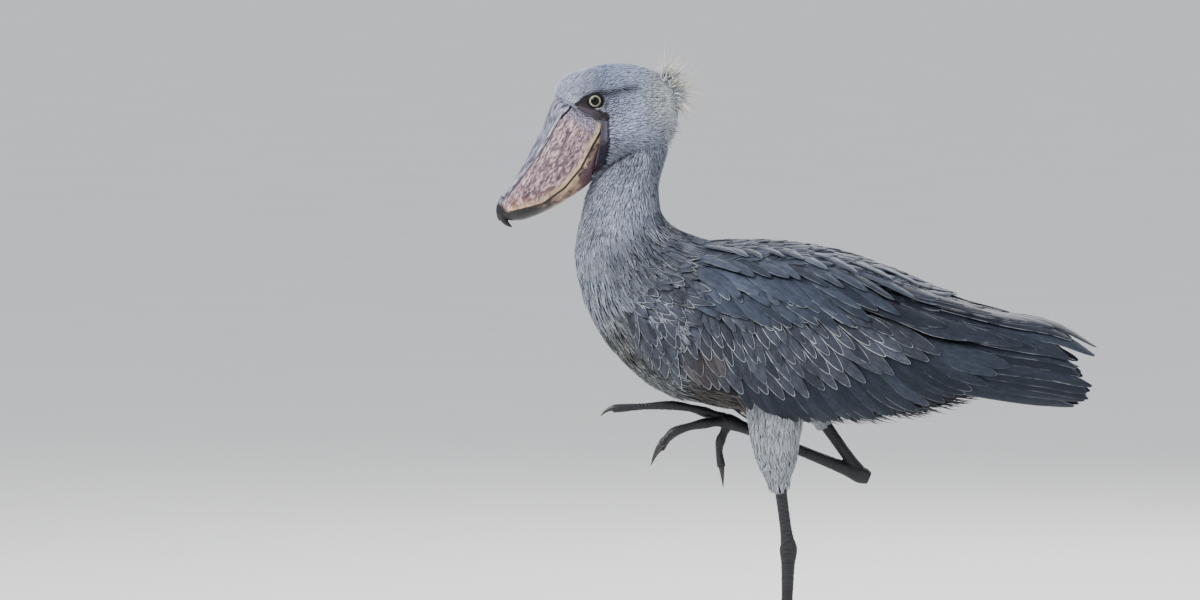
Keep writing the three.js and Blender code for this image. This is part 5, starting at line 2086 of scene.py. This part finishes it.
@shared("Leg skin")
def leg_material(tree, shader):
    relief = attribute(tree, "relief")
    grain = noise(tree, object_place(tree), 300.0, 4.0)
    colour = mixed(tree, relief, rgb(6, 6, 8), rgb(34, 34, 39))
    colour = mixed(tree, grain * 0.5, colour, rgb(20, 20, 24))
    link(tree, colour, shader, "Base Color")
    finish(shader, 0.5, 0.35)
    bump(tree, shader, grain, 0.4, 0.0005)


@shared("Claw horn")
def claw_material(tree, shader):
    grain = noise(tree, object_place(tree, scale=(1, 2, 2)), 350.0, 3.0)
    link(tree, mixed(tree, grain, rgb(16, 15, 17), rgb(44, 40, 40)), shader, "Base Color")
    rough = node(tree, "MapRange", Value=grain, To_Min=0.3, To_Max=0.5).outputs[0]
    link(tree, rough, shader, "Roughness")


def claw_form(name, route, dip):
    route = np.array(route)
    tip = curve_at(route, 1.0)
    ahead = unit(tip - curve_at(route, 0.97))
    knots = []
    for share in np.linspace(0, 1, 7):
        place = tip + ahead * mix(-0.004, CLAW, share)
        place[2] += 0.0016 * math.sin(math.pi * share) - dip * share**2
        radius = mix(0.0056, 0.0006, share**1.3)
        place[2] = max(place[2], radius)
        knots.append((*place, radius, radius * 0.8))
    claw = limb_form(name, knots, 28, 24)
    claw.data.shade_smooth()
    return claw


class SHOEBILL_OT_legs(bpy.types.Operator):
    """Model the scaled legs, the long toes and the claws"""

    bl_idname = "shoebill.legs"
    bl_label = "Legs"

    def execute(self, context):
        sizes = context.scene.shoebill_legs
        for word in LEGS:
            limbs = leg_limbs(word)
            parts = [
                limb_form(f"limb_{i}", knots, 80, 40, bulge=0.0032 if i > 1 else 0.0006)
                for i, knots in enumerate(limbs)
            ]
            leg = join(parts)
            leg.name = "leg_" + word
            apply_modifier(leg, "REMESH", mode="VOXEL", voxel_size=sizes.leg_voxel)
            apply_modifier(leg, "SMOOTH", factor=0.5, iterations=2)
            points = points_of(leg)
            points[:, 2] = np.maximum(points[:, 2], 0.0)
            move_points(leg, points)
            scale_leg(leg, limbs)
            leg.data.shade_smooth()
            nodes = ["shank_" + word, "tarsus_" + word]
            nodes += [f"toe_{toe}_{word}" for toe in TOES[word]]
            finish_piece(leg, leg_material(), "leg_skin", *nodes)
            for toe, route in TOES[word].items():
                claw = claw_form(f"horn_{toe}_{word}", route, CLAW_DIP[word])
                finish_piece(claw, claw_material(), "claw_horn", f"claw_{toe}_{word}")
        return {"FINISHED"}


class SHOEBILL_OT_stage(bpy.types.Operator):
    """Lay the pale floor, hang the soft lights and set the camera"""

    bl_idname = "shoebill.stage"
    bl_label = "Stage"

    def execute(self, context):
        values = context.scene.shoebill_stage
        deselect()
        bpy.ops.mesh.primitive_plane_add(size=160, location=(0, 0, -0.0002))
        floor = context.active_object
        floor.name = "floor"
        material, tree, shader = new_material("Pale floor")
        grain = noise(tree, object_place(tree), 3.0, 2.0)
        link(tree, mixed(tree, grain, rgb(224, 224, 222), rgb(230, 230, 228)), shader, "Base Color")
        finish(shader, 0.9, 0.5)
        floor.data.materials.append(material)
        world = bpy.data.worlds.new("Studio")
        world.use_nodes = True
        context.scene.world = world
        sky = world.node_tree.nodes["Background"]
        sky.inputs["Color"].default_value = (0.93, 0.95, 1.0, 1.0)
        sky.inputs["Strength"].default_value = values.sky
        lights = {
            "key": ((-2.6, -2.0, 3.4), 1.8, values.key),
            "fill": ((2.6, -3.0, 1.6), 3.0, values.key * 0.15),
            "rim": ((1.0, 3.0, 3.2), 2.4, values.key * 0.5),
        }
        target = Vector((0, 0, 0.65))
        for name, (place, size, power) in lights.items():
            bpy.ops.object.light_add(type="AREA", location=place)
            lamp = context.active_object
            lamp.name = "light_" + name
            lamp.data.size = size
            lamp.data.energy = power
            lamp.rotation_euler = (target - Vector(place)).to_track_quat("-Z", "Y").to_euler()
        aim = Vector(tuple(np.array([-0.323, 0, 0.668]) + SHIFT))
        tilt = values.elevation
        back = Vector((0, -math.cos(tilt), math.sin(tilt)))
        bpy.ops.object.camera_add(location=aim + back * values.distance)
        camera = context.active_object
        camera.rotation_euler = (-back).to_track_quat("-Z", "Y").to_euler()
        camera.data.lens = 400
        camera.data.sensor_width = 36
        camera.data.clip_start = 0.5
        camera.data.clip_end = 400
        context.scene.camera = camera
        return {"FINISHED"}


# Settings, panel and registration


class SHOEBILL_PG_body(bpy.types.PropertyGroup):
    skin_voxel: FloatProperty(
        name="Skin detail",
        description="Size of the skin's mesh cells",
        default=0.0032,
        unit="LENGTH",
    )
    bare_skin: FloatVectorProperty(
        name="Bare skin",
        description="Colour of the naked skin of the face",
        default=tuple(rgb(36, 29, 34)),
        subtype="COLOR",
    )
    plumes: IntProperty(name="Plumes", description="Feathers of the neck and body", default=17000)
    fluff_plumes: IntProperty(
        name="Fluff", description="Loose plumes under the belly and the tail", default=1500
    )
    thigh_plumes: IntProperty(name="Thigh plumes", description="On each thigh", default=2400)


class SHOEBILL_PG_head(bpy.types.PropertyGroup):
    feathers: IntProperty(name="Head feathers", description="On the whole head", default=12000)
    crest_locks: IntProperty(name="Crest locks", description="In the nape's crest", default=900)


class SHOEBILL_PG_legs(bpy.types.PropertyGroup):
    leg_voxel: FloatProperty(
        name="Leg detail", description="Size of the legs' mesh cells", default=0.0012, unit="LENGTH"
    )


class SHOEBILL_PG_stage(bpy.types.PropertyGroup):
    elevation: FloatProperty(
        name="Elevation",
        description="Camera above the bird",
        default=math.radians(3.5),
        unit="ROTATION",
    )
    distance: FloatProperty(
        name="Distance", description="Camera from the bird", default=22.0, unit="LENGTH"
    )
    sky: FloatProperty(name="Sky", description="Strength of the soft light all round", default=0.95)
    key: FloatProperty(
        name="Key light", description="Power of the main light", default=300.0, unit="POWER"
    )


OPERATORS = (
    SHOEBILL_OT_stage,
    SHOEBILL_OT_skin,
    SHOEBILL_OT_eyes,
    SHOEBILL_OT_bill,
    SHOEBILL_OT_legs,
    SHOEBILL_OT_head_coat,
    SHOEBILL_OT_crest,
    SHOEBILL_OT_body_coat,
    SHOEBILL_OT_belly_fluff,
    SHOEBILL_OT_thigh_coat,
    SHOEBILL_OT_wings,
    SHOEBILL_OT_cloak,
    SHOEBILL_OT_tail,
)
SETTINGS = {
    "shoebill_body": SHOEBILL_PG_body,
    "shoebill_head": SHOEBILL_PG_head,
    "shoebill_legs": SHOEBILL_PG_legs,
    "shoebill_stage": SHOEBILL_PG_stage,
}


class SHOEBILL_PT_panel(bpy.types.Panel):
    """The bird's pieces and their settings"""

    bl_label = "Shoebill"
    bl_space_type = "VIEW_3D"
    bl_region_type = "UI"
    bl_category = "Shoebill"

    def draw(self, context):
        for key, group in SETTINGS.items():
            for name in group.__annotations__:
                self.layout.prop(getattr(context.scene, key), name)
        for operator in OPERATORS:
            self.layout.operator(operator.bl_idname)


CLASSES = (*SETTINGS.values(), *OPERATORS, SHOEBILL_PT_panel)


def register():
    for cls in CLASSES:
        bpy.utils.register_class(cls)
    for key, group in SETTINGS.items():
        setattr(bpy.types.Scene, key, PointerProperty(type=group))


def unregister():
    for key in SETTINGS:
        delattr(bpy.types.Scene, key)
    for cls in reversed(CLASSES):
        bpy.utils.unregister_class(cls)


def main():
    register()
    for operator in OPERATORS:
        call = getattr(bpy.ops.shoebill, operator.bl_idname.split(".")[1])
        if call() != {"FINISHED"}:
            raise RuntimeError(operator.bl_label + " wasn't made")


if __name__ == "__main__":
    main()
